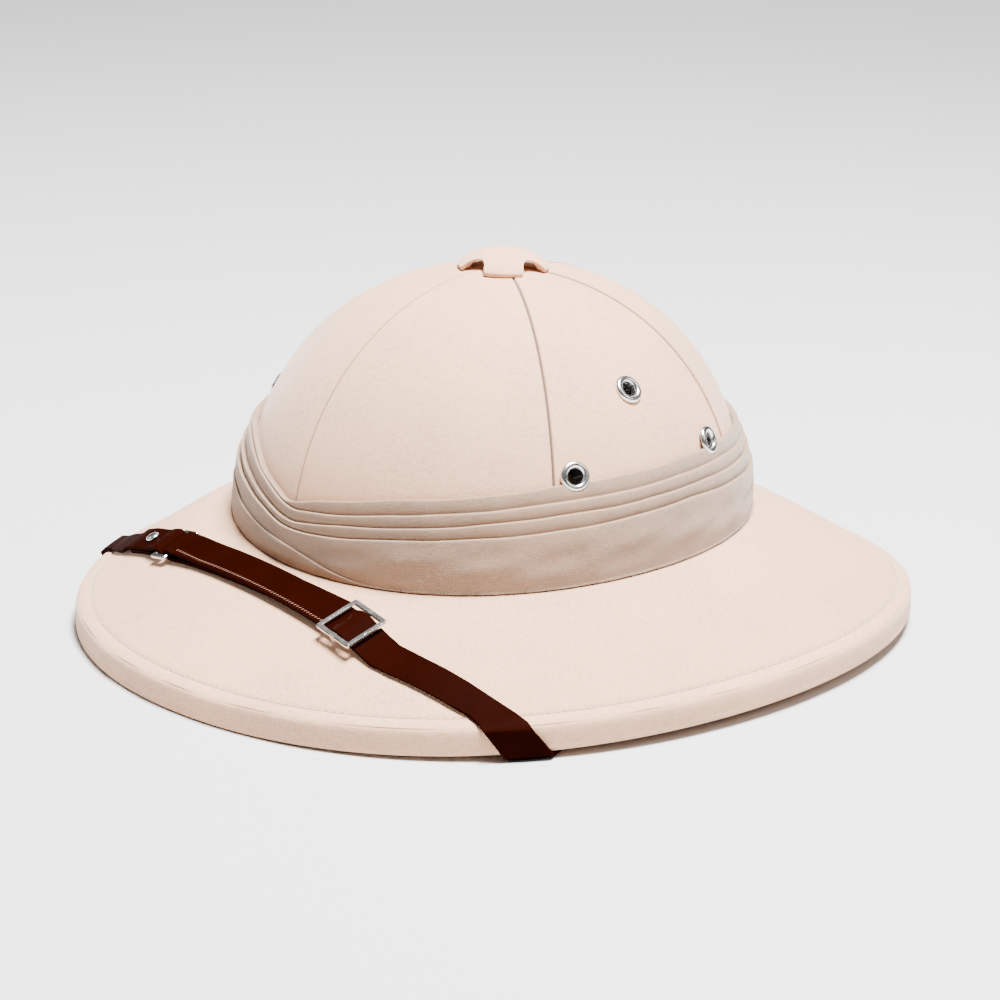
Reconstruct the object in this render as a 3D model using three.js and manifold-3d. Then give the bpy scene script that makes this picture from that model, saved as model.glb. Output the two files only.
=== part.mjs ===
// Pith helmet: hollow crown and brim, bound brim edge, folded pugaree, vent button, eyelets and chin strap.
// Millimetres, +Z up. The front of the hat faces -Y, the wearer's left is +X.
// Angles run round the hat from the front, through the wearer's left at 90 degrees.
import * as THREE from 'three';
import { mergeVertices } from 'three/addons/utils/BufferGeometryUtils.js';
import { ParametricGeometry } from 'three/addons/geometries/ParametricGeometry.js';
import Module from 'manifold-3d';

const wasm = await Module();
wasm.setup();

// Clearances
const SEAT_GAP = 0.3;
const FOLD_GAP = 0.4;
const HOLE_GAP = 0.3;
const CAP_GAP = 0.45;
const SLIDER_PLAY = 0.2;
const HOLE_OVERSHOOT = 2;
const SLIVER_WIDTH = 0.01;

// Brim
const BRIM_HALF_WIDTH = 154.4;
const BRIM_HALF_LENGTH = 175.9;
const BRIM_EGG = 2.7;
const BRIM_SIDE_CORNER = 2.0;
const BRIM_END_CORNER = -3.5;
const BRIM_RISE = 4.24;
const BRIM_WALL = 6;
const BRIM_BULGE = 1.5;
const RIM_HEIGHT = 12.6;
const RIM_FACE_HEIGHT = 9.4;
const RIM_BEND = 1.5;
const RIM_UNDER_WIDTH = 9;

// Cloth binding of the brim's edge
const BINDING_WALL = 1;
const BINDING_WIDTH = 6.2;

// Crown
const CROWN_HALF_WIDTH = 96.8;
const CROWN_HALF_LENGTH = 101.9;
const CROWN_HEIGHT = 98.5;
const CROWN_EGG = -5.5;
const CROWN_BACKSET = -5.4;
const CROWN_LEAN = 1.7;
const CROWN_BASE = 43.7;
const CROWN_BASE_NOD = -2.85;
const CROWN_BASE_SADDLE = -2.67;
const CROWN_WALL = 6;
const CROWN_SIDE_ROUNDNESS = 2.1;
const CROWN_TOP_ROUNDNESS = 2.09;
const VENT_RADIUS = 5;

// Pugaree, the folded band
const PUGAREE_HEIGHT = 37.2;
const PUGAREE_FOOT = 5.3;
const PUGAREE_TOP_STEP = 3;
const FOLD_STEP = 0.8;
const FOLD_LIP = 0.6;

// Vent button and its post
const BUTTON_RADIUS = 18;
const BUTTON_RISE = 7.2;
const BUTTON_EDGE = 1.6;
const BUTTON_WALL = 2.4;
const BUTTON_SKIRT = 4.5;
const BUTTON_ARCH_RADIUS = 6.4;
const BUTTON_ARCH_HEIGHT = 4.6;
const BUTTON_FOOT_BEVEL = 0.6;
const BUTTON_SIDE_ROUNDNESS = 2.2;
const BUTTON_TOP_ROUNDNESS = 0.85;
const POST_RADIUS = 2.5;
const POST_HEAD_RADIUS = 8;
const POST_HEAD_HEIGHT = 1.6;
const POST_HEAD_EDGE = 1;
const POST_TOP_GAP = 0.9;

// Eyelets
const EYELET_RADIUS = 5.8;
const EYELET_HOLE_RADIUS = 3;
const EYELET_WALL = 0.5;
const EYELET_RIM_HEIGHT = 1.5;
const EYELET_SHOULDER_HEIGHT = 1.05;

// Chin strap
const STRAP_WIDTH = 14;
const STRAP_WALL = 1.5;
const STRAP_RIM_SLANT = 48;
const LONG_RIM_ANGLE = 48;
const TAB_RIM_ANGLE = -56;
const STUD_ANGLE = 68;
const STRAP_CLIMB_LEAN = 0.5;
const STRAP_END_HEIGHT = 24;
const STUD_INSET = 7;
const STUD_HEAD_RADIUS = 4;
const STUD_HEAD_HEIGHT = 1.4;
const STUD_SHANK_RADIUS = 1.4;
const STUD_SHANK_DEPTH = 3.5;
const TAB_TURN_BACK = 26;
const RIVET_RUN = 18;
const RIVET_HEAD_RADIUS = 2.8;
const RIVET_HEAD_HEIGHT = 1.5;
const RIVET_SHANK_RADIUS = 1.2;
const FREE_END_INSET = 4;
const FREE_END_SKEW = 3;
const LAYERS_MEET_RUN = 9;
const LAYERS_MEET_RISE = 0.5;

// Ring and slider of the strap
const RING_LENGTH = 9.5;
const RING_BAR = 2.2;
const SLIDER_LENGTH = 19.6;
const SLIDER_BAR = 2.1;
const SLIDER_CENTRE_BAR = 2.4;
const BUCKLE_WALL = 1.6;
const BUCKLE_BEVEL = 0.4;
const BUCKLE_CORNER = 0.8;
const WINDOW_CORNER = 0.5;
const SLIDER_LEG = 1.7;
const BUCKLE_SIDE_GAP = 0.5;

// Steps of the meshes
const TURN_STEPS = 60;
const CROWN_ROWS = 9;
const ROUND_STEPS = 12;
const ARCH_STEPS = 20;
const STRAP_STEPS = 8;
const SOLVE_TURNS = 12;
const BRIM_TOP_ROWS = [0.25, 0.5, 0.75, 0.9];
const BRIM_UNDER_ROWS = [0.8, 0.5, 0.2];
const BUTTON_DOME_ROWS = [0.92, 0.8, 0.62, 0.4, 0.2];
const STRAP_SIDES = [-1, 0, 1];
const STRAP_BRIM_ROWS = [0.2, 0.4, 0.6, 0.8];
const STRAP_UNDER_ROWS = [0.33, 0.67];
const STRAP_CLIMB_ROWS = [0, 0.12, 0.45, 0.75, 1];
const FOLD_TURNS = [-90, -45, 0, 45, 90];

// How the brim's edge rises and falls round the hat, as shares of BRIM_RISE
const RIM_WAVE = [
  { turns: 0, share: 0.518 },
  { turns: 1, share: -0.094 },
  { turns: 2, share: -0.517 },
  { turns: 3, share: 0.094 },
  { turns: 4, share: -0.034 },
];

// Pleat edges of the pugaree round the hat, as shares of PUGAREE_HEIGHT above the crown's base;
// wrap_out is the share of one fold step by which the lowest, wrapped fold stands out
const PLEATS = [
  { angle: -180, top: 1.0, first: 0.86, second: 0.72, third: 0.58, wrap: 0.3, wrap_out: 1 },
  { angle: -90, top: 1.0, first: 0.94, second: 0.74, third: 0.62, wrap: 0.4, wrap_out: 1 },
  { angle: -37, top: 0.97, first: 0.94, second: 0.73, third: 0.61, wrap: 0.38, wrap_out: 1 },
  { angle: -22, top: 0.78, first: 0.75, second: 0.6, third: 0.5, wrap: 0.29, wrap_out: 1 },
  { angle: -8, top: 0.63, first: 0.58, second: 0.46, third: 0.39, wrap: 0.235, wrap_out: 1 },
  { angle: 8, top: 0.8, first: 0.67, second: 0.56, third: 0.45, wrap: 0.09, wrap_out: 1 },
  { angle: 16, top: 0.86, first: 0.72, second: 0.6, third: 0.5, wrap: 0.04, wrap_out: 0 },
  { angle: 30, top: 0.93, first: 0.79, second: 0.66, third: 0.55, wrap: 0.04, wrap_out: 0 },
  { angle: 62, top: 1.0, first: 0.85, second: 0.74, third: 0.6, wrap: 0.04, wrap_out: 0 },
  { angle: 135, top: 0.93, first: 0.8, second: 0.67, third: 0.5, wrap: 0.04, wrap_out: 0 },
  { angle: 180, top: 1.0, first: 0.86, second: 0.72, third: 0.58, wrap: 0.3, wrap_out: 1 },
];

// Eyelets of the wearer's left side: the height is a share of CROWN_HEIGHT
const EYELETS = [
  { name: 'upper', angle: 88.5, height: 0.661 },
  { name: 'front', angle: 66, height: 0.4 },
  { name: 'rear', angle: 110.7, height: 0.41 },
];

// Centres of ring and slider on the brim, as shares of BRIM_HALF_WIDTH and BRIM_HALF_LENGTH
const RING_PLACE = { across: -0.4275, along: -0.632 };
const SLIDER_PLACE = { across: 0.307, along: -0.687 };

// How the strap climbs over the slider's centre bar: run is a share of SLIDER_LENGTH from the bar,
// rise a share of the way from the strap's lowest lift to its lift over the bar
const SLIDER_CLIMB = [
  { run: -0.32, rise: 0.568 },
  { run: -0.11, rise: 1 },
  { run: 0, rise: 1.068 },
  { run: 0.11, rise: 1 },
  { run: 0.36, rise: 0.486 },
  { run: 0.62, rise: 0.17 },
  { run: 0.95, rise: 0 },
];

// The tab under and over itself: back is a share of TAB_TURN_BACK from the ring's bar,
// rise a share of the way from the lower layer to the upper one
const TAB_UNDER = [
  { back: 1, rise: 0 },
  { back: 0.6, rise: 0 },
  { back: 0.23, rise: 0 },
];
const TAB_OVER = [
  { back: 0.19, rise: 1.64 },
  { back: 0.385, rise: 1 },
  { back: 0.8, rise: 1 },
  { back: 1.115, rise: 0.8 },
  { back: 1.31, rise: 0 },
];

// Where a pin's round head bends, as shares of its radius and its height
const HEAD_BEND = { across: 0.8, up: 0.65 };

const CLOTH = { color: 0xdecdc0, roughness: 0.9, metalness: 0 };
const CLOTH_SHADE = { color: 0xd2c2b4, roughness: 0.92, metalness: 0 };
const LEATHER = { color: 0x3a1610, roughness: 0.45, metalness: 0 };
const NICKEL = { color: 0xc9c8c4, roughness: 0.25, metalness: 1 };

const helmet = new THREE.Group();
const toRadians = THREE.MathUtils.degToRad;
const lerp = THREE.MathUtils.lerp;

// Meshes, solids and placing

function cleaned(geometry) {
  geometry.deleteAttribute('normal');
  geometry.deleteAttribute('uv');
  const merged = mergeVertices(geometry, 1e-4);
  const index = merged.index.array;
  const kept = [];
  for (let i = 0; i < index.length; i += 3) {
    const [a, b, c] = [index[i], index[i + 1], index[i + 2]];
    if (a !== b && b !== c && c !== a) kept.push(a, b, c);
  }
  merged.setIndex(kept);
  return signedVolume(merged) < 0 ? turnedInsideOut(merged) : merged;
}

function signedVolume(geometry) {
  const position = geometry.attributes.position;
  const index = geometry.index.array;
  const corner = [new THREE.Vector3(), new THREE.Vector3(), new THREE.Vector3()];
  let sum = 0;
  for (let i = 0; i < index.length; i += 3) {
    corner.forEach((point, k) => point.fromBufferAttribute(position, index[i + k]));
    sum += corner[0].dot(corner[1].clone().cross(corner[2]));
  }
  return sum / 6;
}

function turnedInsideOut(geometry) {
  const index = Array.from(geometry.index.array);
  for (let i = 0; i < index.length; i += 3) {
    [index[i + 1], index[i + 2]] = [index[i + 2], index[i + 1]];
  }
  geometry.setIndex(index);
  return geometry;
}

// A skin through a list of rings, each a closed loop of as many points
function skin(rings) {
  const around = rings[0].length;
  const last = rings.length - 1;
  const pick = (u, v, target) => {
    target.copy(rings[Math.round(v * last)][Math.round(u * around) % around]);
  };
  return cleaned(new ParametricGeometry(pick, around, last));
}

// A ring-shaped body: the sections stand round the hat and the last joins the first
function ringBody(sections) {
  return skin([...sections, sections[0]]);
}

// A strip-shaped body: the sections follow each other, and its two ends are closed flat
function stripBody(sections) {
  const cap = (section) => {
    const centre = section.reduce((sum, point) => sum.add(point), new THREE.Vector3());
    return section.map(() => centre.clone().divideScalar(section.length));
  };
  return skin([cap(sections[0]), ...sections, cap(sections[sections.length - 1])]);
}

function toSolid(geometry) {
  const mesh = new wasm.Mesh({
    numProp: 3,
    vertProperties: new Float32Array(geometry.attributes.position.array),
    triVerts: new Uint32Array(geometry.index.array),
  });
  return new wasm.Manifold(mesh);
}

function toGeometry(solid) {
  const mesh = solid.getMesh();
  const geometry = new THREE.BufferGeometry();
  geometry.setAttribute('position', new THREE.BufferAttribute(mesh.vertProperties, 3));
  geometry.setIndex(Array.from(mesh.triVerts));
  return geometry;
}

function addPiece(name, geometry, look) {
  const mesh = new THREE.Mesh(geometry, new THREE.MeshStandardMaterial({ ...look }));
  mesh.name = name;
  helmet.add(mesh);
  return mesh;
}

function placed(geometry, frame) {
  return geometry.clone().applyMatrix4(frame);
}

// Outlines and heights of the brim and the crown

function rimPlan(angle) {
  const x = BRIM_HALF_WIDTH * Math.sin(angle) + BRIM_SIDE_CORNER * Math.sin(3 * angle);
  const y = BRIM_HALF_LENGTH * Math.cos(angle) + BRIM_END_CORNER * Math.cos(3 * angle)
    + BRIM_EGG * Math.cos(2 * angle);
  return new THREE.Vector2(x, BRIM_EGG - y);
}

function rimBottom(angle) {
  const wave = RIM_WAVE.reduce((sum, row) => sum + row.share * Math.cos(row.turns * angle), 0);
  return Math.max(0, BRIM_RISE * wave);
}

function crownBase(angle) {
  return CROWN_BASE + CROWN_BASE_NOD * Math.cos(angle) + CROWN_BASE_SADDLE * Math.cos(2 * angle);
}

// Share of the crown's full outline that is left at a share of its height
function crownShare(height) {
  const up = Math.min(Math.max(height, 0), 1);
  return Math.pow(Math.max(1 - Math.pow(up, CROWN_TOP_ROUNDNESS), 0), 1 / CROWN_SIDE_ROUNDNESS);
}

// Point on the crown's outside, moved out by a distance, at a height above the origin
function crownPlan(angle, z, out) {
  const height = (z - CROWN_BASE) / CROWN_HEIGHT;
  const share = crownShare(height);
  const x = (CROWN_HALF_WIDTH * share + out) * Math.sin(angle);
  const reach = (CROWN_HALF_LENGTH * share + out) * Math.cos(angle);
  const egg = CROWN_EGG * share * Math.cos(2 * angle);
  const lean = CROWN_LEAN * Math.min(Math.max(height, 0), 1);
  return new THREE.Vector2(x, BRIM_EGG + CROWN_BACKSET + lean - reach - egg);
}

function crownPoint(angle, z, out) {
  const plan = crownPlan(angle, z, out);
  return new THREE.Vector3(plan.x, plan.y, z);
}

// Point on the crown's inside: the outside scaled down by the wall
function crownInside(angle, z, inward) {
  const height = (z - CROWN_BASE) / (CROWN_HEIGHT - CROWN_WALL);
  return crownPoint(angle, CROWN_BASE + height * CROWN_HEIGHT, -CROWN_WALL - inward).setZ(z);
}

function footPlan(angle) {
  return crownPlan(angle, crownBase(angle), PUGAREE_FOOT);
}

// Point on the line from the brim's edge to the crown's foot, at a share of the way or a width from the edge
function brimPlan(angle, share) {
  return rimPlan(angle).lerp(footPlan(angle), share);
}

function insetShare(angle, inset) {
  return inset / rimPlan(angle).distanceTo(footPlan(angle));
}

function insetPoint(angle, inset, z) {
  const plan = brimPlan(angle, insetShare(angle, inset));
  return new THREE.Vector3(plan.x, plan.y, z);
}

// Height of the brim's upper face at a share of the way in from its edge
function brimTop(angle, share) {
  const bound = insetShare(angle, BINDING_WIDTH);
  const edge = rimBottom(angle) + RIM_HEIGHT;
  if (share < bound) return edge - (RIM_HEIGHT - RIM_FACE_HEIGHT - RIM_BEND) * (1 - share / bound);
  const inward = (share - bound) / (1 - bound);
  return lerp(edge, crownBase(angle), inward) + BRIM_BULGE * Math.sin(Math.PI * inward);
}

// Angle and share of the way in that lie under a point seen from above
function brimPlace(x, y) {
  const target = new THREE.Vector2(x, y);
  const step = 1e-4;
  let angle = Math.atan2(x / BRIM_HALF_WIDTH, -y / BRIM_HALF_LENGTH);
  let share = 0.5;
  for (let turn = 0; turn < SOLVE_TURNS; turn += 1) {
    const miss = brimPlan(angle, share).sub(target);
    const byAngle = brimPlan(angle + step, share).sub(brimPlan(angle, share)).divideScalar(step);
    const byShare = footPlan(angle).sub(rimPlan(angle));
    const area = byAngle.cross(byShare);
    angle -= miss.cross(byShare) / area;
    share -= byAngle.cross(miss) / area;
  }
  return { angle, share };
}

function brimHeightAt(x, y) {
  const place = brimPlace(x, y);
  return brimTop(place.angle, place.share);
}

// Point above the brim, lifted along the brim's own normal
function aboveBrim(x, y, lift) {
  const reach = 0.5;
  const slopeX = (brimHeightAt(x + reach, y) - brimHeightAt(x - reach, y)) / (2 * reach);
  const slopeY = (brimHeightAt(x, y + reach) - brimHeightAt(x, y - reach)) / (2 * reach);
  const normal = new THREE.Vector3(-slopeX, -slopeY, 1).normalize();
  const point = new THREE.Vector3(x, y, brimHeightAt(x, y)).addScaledVector(normal, lift);
  return { point, normal };
}

const turnAngles = Array.from({ length: TURN_STEPS }, (_, k) => (2 * Math.PI * k) / TURN_STEPS);

// Shell: brim and crown in one hollow piece

const apexHeight = CROWN_BASE + CROWN_HEIGHT;
const bindingSeat = BINDING_WALL + SEAT_GAP;

function ventHeight(out) {
  const share = VENT_RADIUS / CROWN_HALF_WIDTH;
  const drop = Math.pow(1 - Math.pow(share, CROWN_SIDE_ROUNDNESS), 1 / CROWN_TOP_ROUNDNESS);
  return CROWN_BASE + (CROWN_HEIGHT + out) * drop;
}

// Rows from the crown's base to the vent, closer together near the top
function crownRowHeight(angle, row, top) {
  const turn = (row / CROWN_ROWS) * (Math.PI / 2);
  return lerp(crownBase(angle), top, Math.sin(turn));
}

// Rows of the crown's inside, from the corner under the brim upwards
function insideRowHeight(angle, row) {
  return row === 0 ? crownBase(angle) - BRIM_WALL : crownRowHeight(angle, row, apexHeight - CROWN_WALL);
}

// Point on the inside's flat stretches between two rows, moved inward
function insideWall(angle, z, inward) {
  let row = 0;
  while (insideRowHeight(angle, row + 1) < z) row += 1;
  const low = crownInside(angle, insideRowHeight(angle, row), inward);
  const high = crownInside(angle, insideRowHeight(angle, row + 1), inward);
  return low.lerp(high, (z - low.z) / (high.z - low.z));
}

function ventPoint(angle, z) {
  const centre = BRIM_EGG + CROWN_BACKSET + CROWN_LEAN;
  return new THREE.Vector3(VENT_RADIUS * Math.sin(angle), centre - VENT_RADIUS * Math.cos(angle), z);
}

function shellSection(angle) {
  const bottom = rimBottom(angle);
  const base = crownBase(angle);
  const seatInset = BINDING_WIDTH + SEAT_GAP;
  const seat = insetShare(angle, seatInset);
  const section = [
    insetPoint(angle, bindingSeat, bottom + bindingSeat),
    insetPoint(angle, bindingSeat, bottom + RIM_FACE_HEIGHT - SEAT_GAP),
    insetPoint(angle, bindingSeat + RIM_BEND / 2, bottom + RIM_FACE_HEIGHT + RIM_BEND - bindingSeat),
    insetPoint(angle, seatInset, brimTop(angle, seat) - bindingSeat),
    insetPoint(angle, seatInset, brimTop(angle, seat)),
  ];
  for (const inward of BRIM_TOP_ROWS) {
    const share = lerp(seat, 1, inward);
    const plan = brimPlan(angle, share);
    section.push(new THREE.Vector3(plan.x, plan.y, brimTop(angle, share)));
  }
  section.push(crownPoint(angle, base - SEAT_GAP, PUGAREE_FOOT));
  section.push(crownPoint(angle, base - SEAT_GAP, 0));
  for (let row = 1; row < CROWN_ROWS; row += 1) {
    section.push(crownPoint(angle, crownRowHeight(angle, row, apexHeight), 0));
  }
  section.push(ventPoint(angle, ventHeight(0)));
  section.push(ventPoint(angle, ventHeight(-CROWN_WALL)));
  for (let row = CROWN_ROWS - 1; row >= 0; row -= 1) {
    section.push(crownInside(angle, insideRowHeight(angle, row), 0));
  }
  for (const inward of BRIM_UNDER_ROWS) {
    const share = lerp(seat, 1, inward);
    const plan = brimPlan(angle, share);
    section.push(new THREE.Vector3(plan.x, plan.y, brimTop(angle, share) - BRIM_WALL));
  }
  section.push(insetPoint(angle, RIM_UNDER_WIDTH, bottom + bindingSeat));
  return section;
}

// Binding: a strip of cloth folded round the brim's edge

function bindingSection(angle) {
  const bottom = rimBottom(angle);
  const top = brimTop(angle, insetShare(angle, BINDING_WIDTH));
  const bend = bottom + RIM_FACE_HEIGHT + RIM_BEND;
  return [
    insetPoint(angle, BINDING_WIDTH, top),
    insetPoint(angle, RIM_BEND, bend),
    insetPoint(angle, 0, bottom + RIM_FACE_HEIGHT),
    insetPoint(angle, 0, bottom + BINDING_WALL),
    insetPoint(angle, BINDING_WALL, bottom),
    insetPoint(angle, BINDING_WIDTH, bottom),
    insetPoint(angle, BINDING_WIDTH, bottom + BINDING_WALL),
    insetPoint(angle, BINDING_WALL, bottom + BINDING_WALL),
    insetPoint(angle, BINDING_WALL, bottom + RIM_FACE_HEIGHT),
    insetPoint(angle, BINDING_WALL + RIM_BEND / 2, bend - BINDING_WALL),
    insetPoint(angle, BINDING_WIDTH, top - BINDING_WALL),
  ];
}

// Pugaree: shingled folds, each lower one standing further out

function pleatsAt(angle) {
  const degrees = THREE.MathUtils.radToDeg(Math.atan2(Math.sin(angle), Math.cos(angle)));
  const next = PLEATS.findIndex((row) => row.angle > degrees);
  const [low, high] = next < 1 ? PLEATS.slice(-2) : [PLEATS[next - 1], PLEATS[next]];
  const share = (degrees - low.angle) / (high.angle - low.angle);
  const row = {};
  for (const column of Object.keys(low)) row[column] = lerp(low[column], high[column], share);
  return row;
}

function pugareeSection(angle) {
  const pleat = pleatsAt(angle);
  const foot = crownBase(angle) + SEAT_GAP;
  const height = (share) => crownBase(angle) + share * PUGAREE_HEIGHT;
  const outOf = (folds) => PUGAREE_TOP_STEP + folds * FOLD_STEP;
  const wrapOut = pleat.wrap_out * FOLD_STEP;
  const lowest = outOf(3) - FOLD_STEP;
  const section = [
    crownPoint(angle, foot, lowest + wrapOut),
    crownPoint(angle, height(pleat.wrap), lowest + wrapOut),
    crownPoint(angle, height(pleat.wrap) - FOLD_LIP * (2 * pleat.wrap_out - 1), lowest),
    crownPoint(angle, height((pleat.wrap + pleat.third) / 2), outOf(3)),
    crownPoint(angle, height(pleat.third), outOf(3)),
    crownPoint(angle, height(pleat.third) - FOLD_LIP, outOf(2)),
    crownPoint(angle, height(pleat.second), outOf(2)),
    crownPoint(angle, height(pleat.second) - FOLD_LIP, outOf(1)),
    crownPoint(angle, height(pleat.first), outOf(1)),
    crownPoint(angle, height(pleat.first) - FOLD_LIP, outOf(0)),
    crownPoint(angle, height(pleat.top), outOf(0)),
  ];
  const top = height(pleat.top);
  const [lower, upper] = [1, 2].map((row) => crownRowHeight(angle, row, apexHeight));
  const inside = upper < top - FOLD_LIP ? upper : (lower + top) / 2;
  for (const z of [top, inside, lower, foot]) section.push(crownPoint(angle, z, SEAT_GAP));
  return section;
}

// Eyelets: a rolled flange outside, a barrel through the wall and a flange inside

function lathe(points, steps) {
  const profile = points.map(([radius, height]) => new THREE.Vector2(radius, height));
  return cleaned(new THREE.LatheGeometry(profile, steps).rotateX(Math.PI / 2));
}

function eyeletBody(inner, outer) {
  const barrel = EYELET_HOLE_RADIUS + EYELET_WALL;
  return lathe([
    [EYELET_HOLE_RADIUS, inner - EYELET_WALL],
    [barrel + EYELET_RIM_HEIGHT, inner - EYELET_WALL],
    [barrel + EYELET_RIM_HEIGHT, inner],
    [barrel, inner],
    [barrel, outer],
    [EYELET_RADIUS, outer],
    [EYELET_RADIUS - EYELET_WALL, outer + EYELET_SHOULDER_HEIGHT],
    [(EYELET_RADIUS + EYELET_HOLE_RADIUS) / 2, outer + EYELET_RIM_HEIGHT],
    [EYELET_HOLE_RADIUS, outer],
    [EYELET_HOLE_RADIUS, inner - EYELET_WALL],
  ], ROUND_STEPS);
}

// Height over a frame at which a disc comes to rest on the pieces, a small gap off them;
// side 1 looks at the frame from outside, side -1 from inside
function restHeight(pieces, frame, radius, side) {
  const reach = 3 * CROWN_WALL;
  const toward = new THREE.Vector3(0, 0, -side).transformDirection(frame);
  const distances = Array.from({ length: ROUND_STEPS }, (_, k) => {
    const turn = (2 * Math.PI * k) / ROUND_STEPS;
    const start = new THREE.Vector3(radius * Math.cos(turn), radius * Math.sin(turn), side * reach);
    const caster = new THREE.Raycaster(start.applyMatrix4(frame), toward);
    return caster.intersectObjects(pieces)[0].distance;
  });
  return side * (reach - Math.min(...distances) + SEAT_GAP);
}

// Frame on the crown's outside: z points straight out of the wall
function crownFrame(angle, height) {
  const z = CROWN_BASE + height * CROWN_HEIGHT;
  const step = 0.01;
  const point = crownPoint(angle, z, 0);
  const along = crownPoint(angle + step, z, 0).sub(point).normalize();
  const up = crownPoint(angle, z + step * CROWN_HEIGHT, 0).sub(point).normalize();
  const out = along.clone().cross(up).normalize();
  return new THREE.Matrix4().makeBasis(along, out.clone().cross(along), out).setPosition(point);
}

function rod(radius, low, high, steps) {
  return lathe([[0, low], [radius, low], [radius, high], [0, high]], steps);
}

const eyelets = [];
for (const [side, sign] of [['left', 1], ['right', -1]]) {
  for (const row of EYELETS) {
    const frame = crownFrame(sign * toRadians(row.angle), row.height);
    eyelets.push({ name: `eyelet_${side}_${row.name}`, frame });
  }
}

function eyeletHoles() {
  const radius = EYELET_HOLE_RADIUS + EYELET_WALL + HOLE_GAP;
  const reach = CROWN_WALL + EYELET_RIM_HEIGHT + PUGAREE_FOOT;
  const cutter = rod(radius, -reach, reach, ROUND_STEPS);
  return eyelets.map((eyelet) => toSolid(cleaned(placed(cutter, eyelet.frame))));
}

// Vent button: a low cap on four lobes, with an arch between each two

const crownTop = new THREE.Vector3(0, BRIM_EGG + CROWN_BACKSET + CROWN_LEAN, apexHeight);

function crownDrop(radius) {
  const share = radius / CROWN_HALF_WIDTH;
  return CROWN_HEIGHT * (1 - Math.pow(1 - Math.pow(share, CROWN_SIDE_ROUNDNESS), 1 / CROWN_TOP_ROUNDNESS));
}

function buttonBody() {
  const skirtIn = BUTTON_RADIUS - BUTTON_SKIRT;
  const foot = (radius) => CAP_GAP - crownDrop(radius);
  const edge = foot(BUTTON_RADIUS) + BUTTON_EDGE;
  const dome = (share) => Math.pow(1 - share ** BUTTON_SIDE_ROUNDNESS, BUTTON_TOP_ROUNDNESS);
  const cap = (radius) => edge + (BUTTON_RISE - edge) * dome(radius / BUTTON_RADIUS);
  const solid = toSolid(lathe([
    [0, BUTTON_RISE - BUTTON_WALL],
    [skirtIn / 2, cap(skirtIn / 2) - BUTTON_WALL],
    [skirtIn, foot(skirtIn) + BUTTON_ARCH_HEIGHT / 2],
    [skirtIn, foot(skirtIn)],
    [BUTTON_RADIUS - BUTTON_FOOT_BEVEL, foot(BUTTON_RADIUS)],
    [BUTTON_RADIUS, edge],
    ...BUTTON_DOME_ROWS.map((share) => [BUTTON_RADIUS * share, cap(BUTTON_RADIUS * share)]),
    [0, BUTTON_RISE],
  ], 2 * ROUND_STEPS));
  const arches = [0, Math.PI / 2].map((turn) => {
    const length = 3 * BUTTON_RADIUS;
    const arch = new THREE.CylinderGeometry(BUTTON_ARCH_RADIUS, BUTTON_ARCH_RADIUS, length, ARCH_STEPS);
    arch.rotateZ(turn);
    arch.translate(0, 0, foot(BUTTON_RADIUS) + BUTTON_ARCH_HEIGHT - BUTTON_ARCH_RADIUS);
    return toSolid(cleaned(arch));
  });
  return toGeometry(solid.subtract(arches[0]).subtract(arches[1]).simplify(SLIVER_WIDTH));
}

function postBody() {
  const seat = ventHeight(-CROWN_WALL) - apexHeight - SEAT_GAP;
  const low = seat - POST_HEAD_HEIGHT;
  const top = BUTTON_RISE - BUTTON_WALL - POST_TOP_GAP;
  return lathe([
    [0, low],
    [POST_HEAD_RADIUS, low],
    [POST_HEAD_RADIUS, low + POST_HEAD_EDGE],
    [VENT_RADIUS, seat],
    [POST_RADIUS, seat],
    [POST_RADIUS, top],
    [0, top],
  ], ROUND_STEPS);
}

// Chin strap: the pieces follow a straight line over the front of the brim

const ringCentre = new THREE.Vector2(
  RING_PLACE.across * BRIM_HALF_WIDTH,
  RING_PLACE.along * BRIM_HALF_LENGTH,
);
const sliderCentre = new THREE.Vector2(
  SLIDER_PLACE.across * BRIM_HALF_WIDTH,
  SLIDER_PLACE.along * BRIM_HALF_LENGTH,
);
const strapRun = sliderCentre.distanceTo(ringCentre);

// Straight lines over the brim from the ring's centre: one to the slider, one back to the tab's edge crossing
const strapLine = lineThrough(ringCentre, sliderCentre);
const tabLine = lineThrough(rimPlan(toRadians(TAB_RIM_ANGLE)), ringCentre);

function lineThrough(from, to) {
  const along = to.clone().sub(from).normalize();
  return { along, across: new THREE.Vector2(-along.y, along.x) };
}

// Run gained per distance across a line by a line that lies along the ring's bars
function slantOf(line) {
  const bar = strapLine.across;
  return bar.dot(line.along) / bar.dot(line.across);
}

// Point over a line: run is measured from the ring's centre, across to the rear, lift off the brim
function overLine(line, run, across, lift) {
  const plan = ringCentre.clone().addScaledVector(line.along, run);
  const { point, normal } = aboveBrim(plan.x, plan.y, lift);
  const side = new THREE.Vector3(line.across.x, line.across.y, 0);
  side.addScaledVector(normal, -side.dot(normal)).normalize();
  return point.addScaledVector(side, across);
}

// Corner of a path moved to its left by a distance, so that the moved path keeps that distance
function mitred(path, k, distance) {
  const at = path[k];
  const before = path[k - 1] ?? at.clone().multiplyScalar(2).sub(path[k + 1]);
  const after = path[k + 1] ?? at.clone().multiplyScalar(2).sub(path[k - 1]);
  const into = at.clone().sub(before).normalize();
  const out = after.clone().sub(at).normalize();
  const left = new THREE.Vector2(-into.y, into.x);
  const normal = new THREE.Vector2(-into.y - out.y, into.x + out.x).normalize();
  return at.clone().addScaledVector(normal, distance / normal.dot(left));
}

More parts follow.
